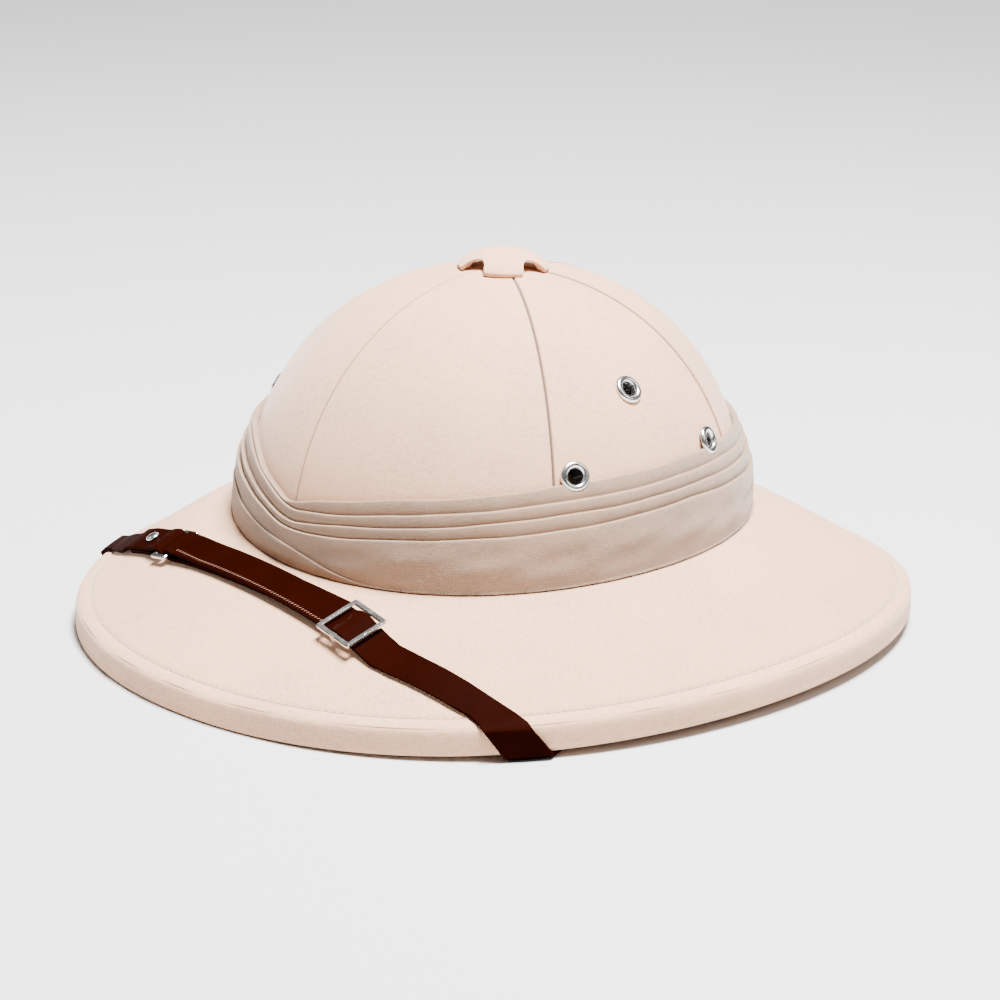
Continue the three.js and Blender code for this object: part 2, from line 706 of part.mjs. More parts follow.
// Sections of a strap seen from its side as a path of [run, lift] points at the strap's middle.
// Each section lists the front, middle and rear points of one face, then the rear, middle and front ones of
// the other. The first face lies to the path's left where firstFace is 1, to its right where it is -1
function sideSections(line, rows, firstFace, skewAt) {
  const path = rows.map(([run, lift]) => new THREE.Vector2(run, lift));
  const slant = slantOf(line);
  return path.map((_, k) => {
    const points = (face) => {
      const place = mitred(path, k, (face * STRAP_WALL) / 2);
      const across = (side) => (side * STRAP_WIDTH) / 2 + skewAt(k);
      return STRAP_SIDES.map((side) => {
        return overLine(line, place.x + slant * across(side), across(side), place.y);
      });
    };
    return [...points(firstFace), ...points(-firstFace).reverse()];
  });
}

const noSkew = () => 0;
const isUpper = (k) => k < STRAP_SIDES.length;
const layerLift = (layer) => SEAT_GAP + STRAP_WALL / 2 + layer * (STRAP_WALL + SEAT_GAP);
const barLift = SEAT_GAP + STRAP_WALL + SEAT_GAP + BUCKLE_WALL / 2;
const sliderLift = layerLift(1) + STRAP_WALL / 2 + SEAT_GAP + BUCKLE_WALL / 2 + SLIDER_PLAY;
const ringBarRun = (RING_LENGTH - RING_BAR) / 2;

// Half turn round a buckle's bar: sign 1 turns towards larger runs
function foldRound(run, sign) {
  const reach = STRAP_WALL / 2 + FOLD_GAP + BUCKLE_WALL / 2;
  const length = reach + (RING_BAR - BUCKLE_WALL) / 2;
  return FOLD_TURNS.map((turn) => {
    const angle = toRadians(turn);
    return [run + sign * length * Math.cos(angle), barLift + reach * Math.sin(angle)];
  });
}

// Sections from the brim's upper face, over its edge, under it and up the inside of the crown
function sectionsRoundBrim(from, rimDegrees) {
  const sign = Math.sign(rimDegrees);
  const slope = 1 / Math.tan(toRadians(STRAP_RIM_SLANT));
  const faces = [SEAT_GAP + STRAP_WALL, SEAT_GAP];
  const sectionAt = (place, degrees, run, plan) => {
    const angle = toRadians(degrees);
    const turnPer = 1 / plan(angle).distanceTo(plan(angle + 1));
    const spread = (STRAP_WIDTH / 2) * Math.hypot(1, slope) * turnPer;
    const middle = angle + run * slope * turnPer;
    const points = (lift) => STRAP_SIDES.map((side) => {
      const point = place(middle + side * spread, lift);
      return point.setX(sign * point.x);
    });
    return [...points(faces[0]), ...points(faces[1]).reverse()];
  };

  const edge = (angle) => [
    [BINDING_WIDTH, brimTop(angle, insetShare(angle, BINDING_WIDTH)) - rimBottom(angle)],
    [RIM_BEND, RIM_FACE_HEIGHT + RIM_BEND],
    [0, RIM_FACE_HEIGHT],
    [0, BINDING_WALL],
    [BINDING_WALL, 0],
    [RIM_UNDER_WIDTH, 0],
  ].map(([inset, height]) => new THREE.Vector2(-inset, height));
  const edgeStart = edge(toRadians(Math.abs(rimDegrees)));
  let run = 0;
  const over = edgeStart.map((corner, k) => {
    run += k > 0 ? corner.distanceTo(edgeStart[k - 1]) : 0;
    const place = (angle, lift) => {
      const moved = mitred(edge(angle), k, lift);
      return insetPoint(angle, -moved.x, rimBottom(angle) + moved.y);
    };
    return sectionAt(place, Math.abs(rimDegrees), run, rimPlan);
  });

  const insidePlan = (angle) => crownPlan(angle, CROWN_BASE, -CROWN_WALL);
  const up = STRAP_CLIMB_ROWS.map((share) => {
    const rise = share * STRAP_END_HEIGHT;
    const place = (angle, lift) => {
      const corner = insideRowHeight(angle, 0);
      const point = insideWall(angle, corner + rise, lift);
      return share > 0 ? point : point.setZ(corner - lift);
    };
    return sectionAt(place, STUD_ANGLE, rise * STRAP_CLIMB_LEAN, insidePlan);
  });

  const across = STRAP_BRIM_ROWS.map((share) => from.map((point, k) => {
    const plan = point.clone().lerp(over[0][k], share);
    return aboveBrim(plan.x, plan.y, isUpper(k) ? faces[0] : faces[1]).point;
  }));
  const last = over[over.length - 1];
  const under = STRAP_UNDER_ROWS.map((share) => last.map((point, k) => point.clone().lerp(up[0][k], share)));
  return [...across, ...over, ...under, ...up];
}

function longStrapSections() {
  const low = layerLift(0);
  const high = layerLift(1);
  const top = barLift + BUCKLE_WALL / 2 + SEAT_GAP + STRAP_WALL / 2;
  const start = ringBarRun + LAYERS_MEET_RUN;
  const end = strapRun - SLIDER_LENGTH / 2 - FREE_END_INSET;
  const shares = Array.from({ length: STRAP_STEPS + 1 }, (_, k) => k / STRAP_STEPS);
  const path = [
    ...shares.map((share) => [lerp(end, start, share), low]),
    ...foldRound(ringBarRun, -1),
    [start, lerp(high, top, LAYERS_MEET_RISE)],
    ...shares.slice(1).map((share) => [lerp(start, end, share), high]),
    ...SLIDER_CLIMB.map((row) => [strapRun + row.run * SLIDER_LENGTH, lerp(low, top, row.rise)]),
  ];
  const skewAt = (k) => FREE_END_SKEW * Math.max(1 - k / STRAP_STEPS, 0) ** 2;
  const seen = sideSections(strapLine, path, 1, skewAt);
  return [...seen, ...sectionsRoundBrim(seen[seen.length - 1], LONG_RIM_ANGLE)];
}

function tabSections() {
  const place = (row) => {
    return [-ringBarRun - row.back * TAB_TURN_BACK, lerp(layerLift(0), layerLift(1), row.rise)];
  };
  const path = [...TAB_UNDER.map(place), ...foldRound(-ringBarRun, 1), ...TAB_OVER.map(place)];
  const seen = sideSections(tabLine, path, -1, noSkew);
  return [...seen, ...sectionsRoundBrim(seen[seen.length - 1], TAB_RIM_ANGLE)];
}

// Flat metal loops: a rectangle with rounded corners and one or two windows

function roundedRectangle(shape, length, width, radius) {
  const x = length / 2;
  const y = width / 2;
  shape.moveTo(-x + radius, -y);
  shape.lineTo(x - radius, -y);
  shape.quadraticCurveTo(x, -y, x, -y + radius);
  shape.lineTo(x, y - radius);
  shape.quadraticCurveTo(x, y, x - radius, y);
  shape.lineTo(-x + radius, y);
  shape.quadraticCurveTo(-x, y, -x, y - radius);
  shape.lineTo(-x, -y + radius);
  shape.quadraticCurveTo(-x, -y, -x + radius, -y);
  return shape;
}

function frameBody(length, width, bar) {
  const inset = 2 * BUCKLE_BEVEL;
  const outline = roundedRectangle(new THREE.Shape(), length - inset, width - inset, BUCKLE_CORNER);
  const windowLength = length - 2 * bar + inset;
  const windowWidth = width - 2 * bar + inset;
  outline.holes.push(roundedRectangle(new THREE.Path(), windowLength, windowWidth, WINDOW_CORNER));
  const body = new THREE.ExtrudeGeometry(outline, {
    depth: BUCKLE_WALL - inset,
    bevelEnabled: true,
    bevelThickness: BUCKLE_BEVEL,
    bevelSize: BUCKLE_BEVEL,
    bevelSegments: 1,
    curveSegments: 2,
  });
  return cleaned(body.translate(0, 0, BUCKLE_BEVEL - BUCKLE_WALL / 2));
}

const buckleWidth = STRAP_WIDTH + 2 * BUCKLE_SIDE_GAP + 2 * SLIDER_BAR;

// Frame on a strap's line: x along the strap, y across it, z off the brim
function lineFrame(line, run, lift) {
  const origin = overLine(line, run, 0, lift);
  const along = overLine(line, run + 1, 0, lift).sub(overLine(line, run - 1, 0, lift)).normalize();
  const across = overLine(line, run, 1, lift).sub(origin).normalize();
  const out = along.clone().cross(across).normalize();
  return new THREE.Matrix4().makeBasis(along, out.clone().cross(along), out).setPosition(origin);
}

function sliderBody() {
  const frame = toSolid(frameBody(SLIDER_LENGTH, buckleWidth, SLIDER_BAR));
  const bar = new THREE.BoxGeometry(SLIDER_CENTRE_BAR, buckleWidth - SLIDER_BAR, BUCKLE_WALL);
  const drop = sliderLift - barLift;
  const legs = new THREE.BoxGeometry(SLIDER_CENTRE_BAR, SLIDER_LEG, drop + BUCKLE_WALL);
  let solid = frame.add(toSolid(cleaned(bar.translate(0, 0, -drop))));
  for (const side of [-1, 1]) {
    const leg = legs.clone().translate(0, (side * (buckleWidth - SLIDER_BAR)) / 2, -drop / 2);
    solid = solid.add(toSolid(cleaned(leg)));
  }
  return toGeometry(solid.simplify(SLIVER_WIDTH));
}

// A round head over a plain shank: seat is the height of the head's foot
function rivetBody(headRadius, headHeight, shankRadius, reach, seat) {
  return lathe([
    [0, -reach],
    [shankRadius, -reach],
    [shankRadius, seat],
    [headRadius, seat],
    [headRadius * HEAD_BEND.across, seat + headHeight * HEAD_BEND.up],
    [0, seat + headHeight],
  ], ROUND_STEPS);
}

// Frame on a strap's upper face, some way back from its end, with z pointing off the face
function endFrame(sections, inset) {
  const [before, after] = sections.slice(-2);
  const along = after[1].clone().sub(before[1]).normalize();
  const side = after[1].clone().sub(after[4]).cross(along).normalize();
  const origin = after[1].clone().addScaledVector(along, -inset);
  return new THREE.Matrix4().makeBasis(along, side, along.clone().cross(side)).setPosition(origin);
}

// A pin's frame turned by half a side, so that none of its corners meets the strap's middle line
function turnedHalfSide(frame) {
  return frame.clone().multiply(new THREE.Matrix4().makeRotationZ(Math.PI / ROUND_STEPS));
}

function holeFor(radius, reach, frame) {
  const cutter = rod(radius + HOLE_GAP, -reach - HOLE_GAP, HOLE_OVERSHOOT, ROUND_STEPS);
  return toSolid(cleaned(placed(cutter, frame)));
}

// Put together

const longSections = longStrapSections();
const shortSections = tabSections();
const rivetFrame = turnedHalfSide(lineFrame(tabLine, -RIVET_RUN, layerLift(1) + STRAP_WALL / 2));
const studs = [
  { name: 'stud_left', strap: 'strap_long', frame: turnedHalfSide(endFrame(longSections, STUD_INSET)) },
  { name: 'stud_right', strap: 'strap_tab', frame: turnedHalfSide(endFrame(shortSections, STUD_INSET)) },
];
const studReach = STRAP_WALL + SEAT_GAP + STUD_SHANK_DEPTH;
const straps = {
  strap_long: toSolid(stripBody(longSections)),
  strap_tab: toSolid(stripBody(shortSections)),
};

let shell = toSolid(ringBody(turnAngles.map(shellSection)));
let pugaree = toSolid(ringBody(turnAngles.map(pugareeSection)));
for (const stud of studs) {
  const hole = holeFor(STUD_SHANK_RADIUS, studReach, stud.frame);
  shell = shell.subtract(hole);
  straps[stud.strap] = straps[stud.strap].subtract(hole);
}
for (const hole of eyeletHoles()) {
  shell = shell.subtract(hole);
  pugaree = pugaree.subtract(hole);
}
const crownPieces = [
  addPiece('shell', toGeometry(shell.simplify(SLIVER_WIDTH)), CLOTH),
  addPiece('pugaree', toGeometry(pugaree.simplify(SLIVER_WIDTH)), CLOTH_SHADE),
];
addPiece('brim_binding', ringBody(turnAngles.map(bindingSection)), CLOTH);

const rivetReach = 2 * STRAP_WALL + 2 * SEAT_GAP;
straps.strap_tab = straps.strap_tab.subtract(holeFor(RIVET_SHANK_RADIUS, rivetReach, rivetFrame));

for (const eyelet of eyelets) {
  const innerFlange = EYELET_HOLE_RADIUS + EYELET_WALL + EYELET_RIM_HEIGHT;
  const inner = restHeight(crownPieces, eyelet.frame, innerFlange, -1);
  const outer = restHeight(crownPieces, eyelet.frame, EYELET_RADIUS, 1);
  addPiece(eyelet.name, eyeletBody(inner, outer), NICKEL).applyMatrix4(eyelet.frame);
}

addPiece('vent_button', buttonBody(), CLOTH).position.copy(crownTop);
addPiece('vent_post', postBody(), NICKEL).position.copy(crownTop);

const strapPieces = {};
for (const [name, solid] of Object.entries(straps)) {
  strapPieces[name] = addPiece(name, toGeometry(solid.simplify(SLIVER_WIDTH)), LEATHER);
}
addPiece('strap_ring', frameBody(RING_LENGTH, buckleWidth, RING_BAR), NICKEL)
  .applyMatrix4(lineFrame(strapLine, 0, barLift));
addPiece('strap_slider', sliderBody(), NICKEL).applyMatrix4(lineFrame(strapLine, strapRun, sliderLift));

const rivetSeat = restHeight([strapPieces.strap_tab], rivetFrame, RIVET_HEAD_RADIUS, 1);
const rivet = rivetBody(RIVET_HEAD_RADIUS, RIVET_HEAD_HEIGHT, RIVET_SHANK_RADIUS, rivetReach, rivetSeat);
addPiece('tab_rivet', rivet, NICKEL).applyMatrix4(rivetFrame);
for (const { name, strap, frame } of studs) {
  const seat = restHeight([strapPieces[strap]], frame, STUD_HEAD_RADIUS, 1);
  const stud = rivetBody(STUD_HEAD_RADIUS, STUD_HEAD_HEIGHT, STUD_SHANK_RADIUS, studReach, seat);
  addPiece(name, stud, NICKEL).applyMatrix4(frame);
}

export default helmet;
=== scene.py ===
import bpy
import numpy as np
from mathutils import Matrix, Vector
from mathutils.bvhtree import BVHTree


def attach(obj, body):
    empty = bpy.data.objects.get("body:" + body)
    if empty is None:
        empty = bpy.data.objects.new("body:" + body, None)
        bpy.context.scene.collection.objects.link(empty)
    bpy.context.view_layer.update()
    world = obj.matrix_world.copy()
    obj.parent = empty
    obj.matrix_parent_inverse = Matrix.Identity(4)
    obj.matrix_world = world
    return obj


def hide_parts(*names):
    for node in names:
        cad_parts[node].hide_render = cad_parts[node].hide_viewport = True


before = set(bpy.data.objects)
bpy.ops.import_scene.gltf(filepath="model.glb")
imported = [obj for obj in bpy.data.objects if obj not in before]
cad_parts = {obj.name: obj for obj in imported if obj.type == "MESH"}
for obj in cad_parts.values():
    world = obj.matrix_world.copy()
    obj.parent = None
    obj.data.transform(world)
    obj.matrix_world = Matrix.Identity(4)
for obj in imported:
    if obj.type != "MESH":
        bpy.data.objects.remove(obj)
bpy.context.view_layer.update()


# Shell: the helmet's hard form, pressed cork or pith about 6 mm thick, covered outside and inside with
# cotton twill. Six cloth gores meet in sewn seams on the crown, and the brim's cloth lies in one flat ring.
# Sizes are in millimetres, angles run from the front through the wearer's left.
BRIM_HALF_WIDTH, BRIM_HALF_LENGTH, BRIM_EGG = 154.4, 175.9, 2.7
BRIM_SIDE_CORNER, BRIM_END_CORNER = 2.0, -3.5
BRIM_RISE, BRIM_WALL, BRIM_BULGE = 4.24, 6.0, 1.5
RIM_WAVE = [(0, 0.518), (1, -0.094), (2, -0.517), (3, 0.094), (4, -0.034)]
RIM_HEIGHT, RIM_FACE_HEIGHT, RIM_BEND, RIM_UNDER_WIDTH = 12.6, 9.4, 1.5, 9.0
BINDING_WALL, BINDING_WIDTH, SEAT_GAP = 1.0, 6.2, 0.3
CROWN_HALF_WIDTH, CROWN_HALF_LENGTH, CROWN_HEIGHT = 96.8, 101.9, 98.5
CROWN_EGG, CROWN_BACKSET, CROWN_LEAN, CROWN_WALL = -5.5, -5.4, 1.7, 6.0
CROWN_BASE, CROWN_BASE_NOD, CROWN_BASE_SADDLE = 43.7, -2.85, -2.67
CROWN_SIDE_ROUNDNESS, CROWN_TOP_ROUNDNESS = 2.1, 2.09
PUGAREE_FOOT, VENT_RADIUS = 5.3, 5.0
CROWN_SEAMS = np.radians([-120.0, -60.0, -7.5, 60.7, 120.7, 180.0])
SEAM_GROOVE_DEPTH, SEAM_GROOVE_WIDTH, SEAM_LAP, SEAM_ALLOWANCE = 1.15, 0.42, 0.34, 4.0
SEAM_SWELL, SEAM_SWELL_WIDTH = 0.12, 9.0
CLOTH_HEX, CLOTH_LIGHT_HEX, CLOTH_DARK_HEX = "#E3B08A", "#EEC3A1", "#C79470"
# Painted shade for the seams: a dark colour mixed into the cloth over this width on each side of a seam
SEAM_PAINTED_SHADE_HEX, SEAM_PAINTED_SHADE_WIDTH = "#4A3528", 0.55
# Each eyelet's turn from the front and its share of the crown's height
EYELETS = [("upper", np.radians(88.5), 0.661), ("front", np.radians(66.0), 0.40),
           ("rear", np.radians(110.7), 0.41)]
EYELET_HOLE, PUNCH_DEPTH = 3.8, 12.0
# An eyelet's flange squeezes the band's folds down to this height, and the cloth gives way round it
PRESSED_BAND, FLANGE_HOLE = 1.3, 5.95
BRIM_DIP, BRIM_DIP_FROM_CROWN, BRIM_DIP_WIDTH = 0.9, 7.0, 6.0


def rim_plan(a):
    """Brim's edge seen from above: an ellipse with a third-harmonic corner and an egg term."""
    x = BRIM_HALF_WIDTH * np.sin(a) + BRIM_SIDE_CORNER * np.sin(3 * a)
    y = BRIM_EGG - (BRIM_HALF_LENGTH * np.cos(a) + BRIM_END_CORNER * np.cos(3 * a) + BRIM_EGG * np.cos(2 * a))
    return np.stack([x, y], -1)


def rim_bottom(a):
    """Height of the edge's foot: a short cosine series, held at the floor where it would go below."""
    return np.maximum(0, BRIM_RISE * sum(share * np.cos(turns * a) for turns, share in RIM_WAVE))


def crown_base(a):
    """Height of the crown's foot: level, with a nod to the front and a saddle over the sides."""
    return CROWN_BASE + CROWN_BASE_NOD * np.cos(a) + CROWN_BASE_SADDLE * np.cos(2 * a)


def crown_share(h):
    """Share of the full outline left at height share h: (1 - h^p)^(1/q), a superellipse."""
    return np.maximum(1 - np.clip(h, 0, 1) ** CROWN_TOP_ROUNDNESS, 0) ** (1 / CROWN_SIDE_ROUNDNESS)


def crown_point(a, z, out):
    """Point on the crown's outside at height z, moved out by a distance."""
    h = (z - CROWN_BASE) / CROWN_HEIGHT
    share = crown_share(h)
    x = (CROWN_HALF_WIDTH * share + out) * np.sin(a)
    reach = (CROWN_HALF_LENGTH * share + out) * np.cos(a)
    y = BRIM_EGG + CROWN_BACKSET + CROWN_LEAN * np.clip(h, 0, 1) - reach - CROWN_EGG * share * np.cos(2 * a)
    return np.stack(np.broadcast_arrays(x, y, z), -1)


def crown_inside(a, z):
    """Point on the crown's inside: the outside scaled down by the wall."""
    h = (z - CROWN_BASE) / (CROWN_HEIGHT - CROWN_WALL)
    point = crown_point(a, CROWN_BASE + h * CROWN_HEIGHT, -CROWN_WALL)
    point[..., 2] = z
    return point


def brim_point(a, share, z):
    """Point on the straight line from the edge (share 0) to the crown's foot (share 1), at height z."""
    rim = rim_plan(a)
    foot = crown_point(a, crown_base(a), PUGAREE_FOOT)[..., :2]
    plan = rim + (foot - rim) * np.asarray(share)[..., None]
    return np.concatenate([plan, np.broadcast_to(z, plan.shape[:-1])[..., None]], -1)


def inset_share(a, inset):
    """Share of the way in at a distance from the brim's edge."""
    foot = crown_point(a, crown_base(a), PUGAREE_FOOT)[..., :2]
    return inset / np.linalg.norm(foot - rim_plan(a), axis=-1)


def brim_top(a, share):
    """Height of the brim's upper face: a short ramp over the binding, then a straight rise with a bulge."""
    bound = inset_share(a, BINDING_WIDTH)
    edge = rim_bottom(a) + RIM_HEIGHT
    ramp = edge - (RIM_HEIGHT - RIM_FACE_HEIGHT - RIM_BEND) * (1 - share / bound)
    inward = np.clip((share - bound) / (1 - bound), 0, 1)
    rise = edge + (crown_base(a) - edge) * inward + BRIM_BULGE * np.sin(np.pi * inward)
    return np.where(share < bound, ramp, rise)


def inset_point(a, inset, z):
    """Point of the brim at a distance from its edge, at height z."""
    return brim_point(a, inset_share(a, inset), z)


def turned(a, centre):
    """Angle measured from a centre, between minus and plus half a turn."""
    return (a - centre + np.pi) % (2 * np.pi) - np.pi


def grid_piece(name, points, uv, closed_rows=False):
    """Mesh of a grid of points (rows, columns, 3) in millimetres, closed round its columns.
    uv is (rows, columns, 2 sides, 2): each face takes its left and right corners' own pair.
    Faces join each point to its neighbours in the next row and column."""
    rows, columns = points.shape[:2]
    count = rows if closed_rows else rows - 1
    low = np.arange(count)[:, None]
    high = (low + 1) % rows
    left = np.arange(columns)[None, :]
    right = (left + 1) % columns
    quads = np.stack([low * columns + left, low * columns + right,
                      high * columns + right, high * columns + left], -1)
    mesh = bpy.data.meshes.new(name)
    mesh.from_pydata((points.reshape(-1, 3) * 0.001).tolist(), [], quads.reshape(-1, 4).tolist())
    low_b, high_b = np.broadcast_arrays(low, left)[0], np.broadcast_arrays(high, left)[0]
    left_b = np.broadcast_arrays(left, low)[0]
    corners = np.stack([uv[low_b, left_b, 0], uv[low_b, left_b, 1],
                        uv[high_b, left_b, 1], uv[high_b, left_b, 0]], 2)
    layer = mesh.uv_layers.new(name="cloth_mm")
    layer.data.foreach_set("uv", corners.reshape(-1).astype(np.float32))
    mesh.polygons.foreach_set("use_smooth", np.ones(len(mesh.polygons), dtype=bool))
    mesh.update()
    piece = bpy.data.objects.new(name, mesh)
    bpy.context.scene.collection.objects.link(piece)
    if signed_volume(mesh) < 0:
        mesh.flip_normals()
    return piece


def signed_volume(mesh):
    """Sum over the faces of centre . area normal, a third of it: positive when faces point outwards."""
    centre = np.empty(len(mesh.polygons) * 3)
    normal = np.empty(len(mesh.polygons) * 3)
    area = np.empty(len(mesh.polygons))
    mesh.polygons.foreach_get("center", centre)
    mesh.polygons.foreach_get("normal", normal)
    mesh.polygons.foreach_get("area", area)
    return float(((centre * normal).reshape(-1, 3).sum(1) * area).sum() / 3)


def along_rows(points):
    """Distance walked from the first row to each row, column by column, in millimetres."""
    step = np.linalg.norm(np.diff(points, axis=0), axis=-1)
    return np.concatenate([np.zeros_like(step[:1]), np.cumsum(step, 0)])


def seam_relief(a, radius):
    """Height of the cloth over the form near a seam, d the distance to it: a sharp groove
    -depth exp(-(d/width)^2), a raised lap on one side that fades out past the allowance, and a soft
    swelling over both sides."""
    distance = turned(a[None, :, None], CROWN_SEAMS[None, None, :]) * radius[..., None]
    groove = -SEAM_GROOVE_DEPTH * np.exp(-((distance / SEAM_GROOVE_WIDTH) ** 2))
    lap = np.where(distance > 0, SEAM_LAP * np.exp(-((distance / SEAM_ALLOWANCE) ** 4)), 0)
    soft = SEAM_SWELL * np.exp(-((distance / SEAM_SWELL_WIDTH) ** 2))
    return (groove + lap + soft).sum(-1)


def moved_out(points, relief):
    """Points moved along the grid's own normals (the cross product of its two directions)."""
    across = np.roll(points, -1, 1) - np.roll(points, 1, 1)
    along = np.gradient(points, axis=0)
    normal = np.cross(across, along)
    normal /= np.linalg.norm(normal, axis=-1, keepdims=True) + 1e-9
    return points + normal * relief[..., None]


even = np.linspace(-np.pi, np.pi, 240, endpoint=False)
beside = np.radians([-4.0, -2.6, -1.8, -1.2, -0.8, -0.5, -0.3, -0.15, 0,
                     0.08, 0.16, 0.3, 0.5, 0.8, 1.2, 1.8, 2.6, 4.0])
turns = np.unique(np.round(turned(np.concatenate([even, (CROWN_SEAMS[:, None] + beside).ravel()]), 0), 5))

seat_share = inset_share(turns, BINDING_WIDTH + SEAT_GAP)
apex = CROWN_BASE + CROWN_HEIGHT
binding_seat = BINDING_WALL + SEAT_GAP
vent_share = (1 - (VENT_RADIUS / CROWN_HALF_WIDTH) ** CROWN_SIDE_ROUNDNESS) ** (1 / CROWN_TOP_ROUNDNESS)

edge_rows = [
    inset_point(turns, binding_seat, rim_bottom(turns) + binding_seat),
    inset_point(turns, binding_seat, rim_bottom(turns) + RIM_FACE_HEIGHT - SEAT_GAP),
    inset_point(turns, binding_seat + RIM_BEND / 2,
                rim_bottom(turns) + RIM_FACE_HEIGHT + RIM_BEND - binding_seat),
    inset_point(turns, BINDING_WIDTH + SEAT_GAP, brim_top(turns, seat_share) - binding_seat),
    inset_point(turns, BINDING_WIDTH + SEAT_GAP, brim_top(turns, seat_share) - 0.5),
    inset_point(turns, BINDING_WIDTH + 1.6 * SEAT_GAP, brim_top(turns, seat_share) - 0.12),
]
brim_shares = np.linspace(0, 1, 40)[:, None]
share = seat_share + (1 - seat_share) * (0.012 + 0.988 * brim_shares)
# The cloth dips softly in front of the band, deepest at a set distance from the crown's foot
crown_foot = crown_point(turns, crown_base(turns), PUGAREE_FOOT)[..., :2]
from_foot = (1 - share) * np.linalg.norm(rim_plan(turns) - crown_foot, axis=-1)
dip = BRIM_DIP * np.exp(-(((from_foot - BRIM_DIP_FROM_CROWN) / BRIM_DIP_WIDTH) ** 2))
brim_rows = brim_point(turns, share, brim_top(turns, share) - dip)
foot_rows = [crown_point(turns, crown_base(turns) - SEAT_GAP, out) for out in (PUGAREE_FOOT, 0.0)]
# The crown's rows climb by even turns of the superellipse, so they lie closer where it bends
full_climb = np.arcsin(vent_share ** (CROWN_TOP_ROUNDNESS / 2))
lift = np.sin(np.linspace(0.03, 1, 72)[:, None] * full_climb) ** (2 / CROWN_TOP_ROUNDNESS)
crown_z = crown_base(turns) + (CROWN_BASE + CROWN_HEIGHT * vent_share - crown_base(turns)) * lift / lift[-1]
crown_rows = crown_point(turns, crown_z, 0.0)
crown_radius = np.linalg.norm(crown_rows[..., :2] - crown_rows[-1:, :, :2].mean(1, keepdims=True), axis=-1)
crown_rows = moved_out(crown_rows, seam_relief(turns, crown_radius))
inside_lift = np.sin(np.linspace(1, 0, 30)[:, None] * full_climb) ** (2 / CROWN_TOP_ROUNDNESS)
inside_top = CROWN_BASE + (CROWN_HEIGHT - CROWN_WALL) * vent_share
inside_foot = crown_base(turns) - BRIM_WALL
inside_rows = crown_inside(turns, inside_foot + (inside_top - inside_foot) * inside_lift / inside_lift[0])
under_share = seat_share + (1 - seat_share) * np.linspace(0.97, 0.2, 24)[:, None]
under_rows = brim_point(turns, under_share, brim_top(turns, under_share) - BRIM_WALL)
last_row = inset_point(turns, RIM_UNDER_WIDTH, rim_bottom(turns) + binding_seat)

shell_points = np.concatenate([np.stack(edge_rows), brim_rows, np.stack(foot_rows), crown_rows,
                               inside_rows, under_rows, last_row[None]])
crown_from = len(edge_rows) + len(brim_rows) + len(foot_rows)
crown_to = crown_from + len(crown_rows) + len(inside_rows)

# Cloth directions: flat from above on the brim, and straight up the middle of each gore on the crown
next_turn = np.append(turns[1:], turns[0] + 2 * np.pi)
middle_turn = (turns + next_turn) / 2
seam_order = np.sort(CROWN_SEAMS)
gore = np.searchsorted(seam_order, middle_turn)
gore_low = np.append(seam_order, seam_order[0] + 2 * np.pi)[gore - 1] - np.where(gore == 0, 2 * np.pi, 0)
gore_high = np.append(seam_order, seam_order[0] + 2 * np.pi)[gore % (len(seam_order) + 1)]
gore_middle = (gore_low + gore_high) / 2
radius = np.linalg.norm(shell_points[..., :2], axis=-1)
height = along_rows(shell_points)
shell_uv = np.empty(shell_points.shape[:2] + (2, 2))
shell_uv[..., 0, :] = shell_points[..., :2]
shell_uv[..., 1, :] = np.roll(shell_points, -1, 1)[..., :2]
on_crown = slice(crown_from, crown_to)
shell_uv[on_crown, :, 0, 0] = turned(turns, gore_middle) * radius[on_crown]
shell_uv[on_crown, :, 1, 0] = turned(next_turn, gore_middle) * np.roll(radius, -1, 1)[on_crown]
shell_uv[on_crown, :, 0, 1] = height[on_crown]
shell_uv[on_crown, :, 1, 1] = np.roll(height, -1, 1)[on_crown]


def to_linear(code):
    """Linear light of an sRGB hex colour: ((c + 0.055) / 1.055)^2.4, or c / 12.92 in the darks."""
    value = np.array([int(code[k:k + 2], 16) for k in (1, 3, 5)]) / 255
    linear = np.where(value <= 0.04045, value / 12.92, ((value + 0.055) / 1.055) ** 2.4)
    return (*linear.tolist(), 1.0)


def add_node(material, kind, settings=None, links=None):
    """Adds one shader node. settings are its properties or input values, links are (input, source socket)."""
    node = material.node_tree.nodes.new(kind)
    for key, value in (settings or {}).items():
        if isinstance(key, str) and hasattr(node, key):
            setattr(node, key, value)
        else:
            node.inputs[key].default_value = value
    for key, source in (links or {}).items():
        material.node_tree.links.new(node.inputs[key], source)
    return node


def new_finish(name):
    """An empty material, ready for its nodes."""
    material = bpy.data.materials.new(name)
    material.use_nodes = True
    material.node_tree.nodes.clear()
    return material


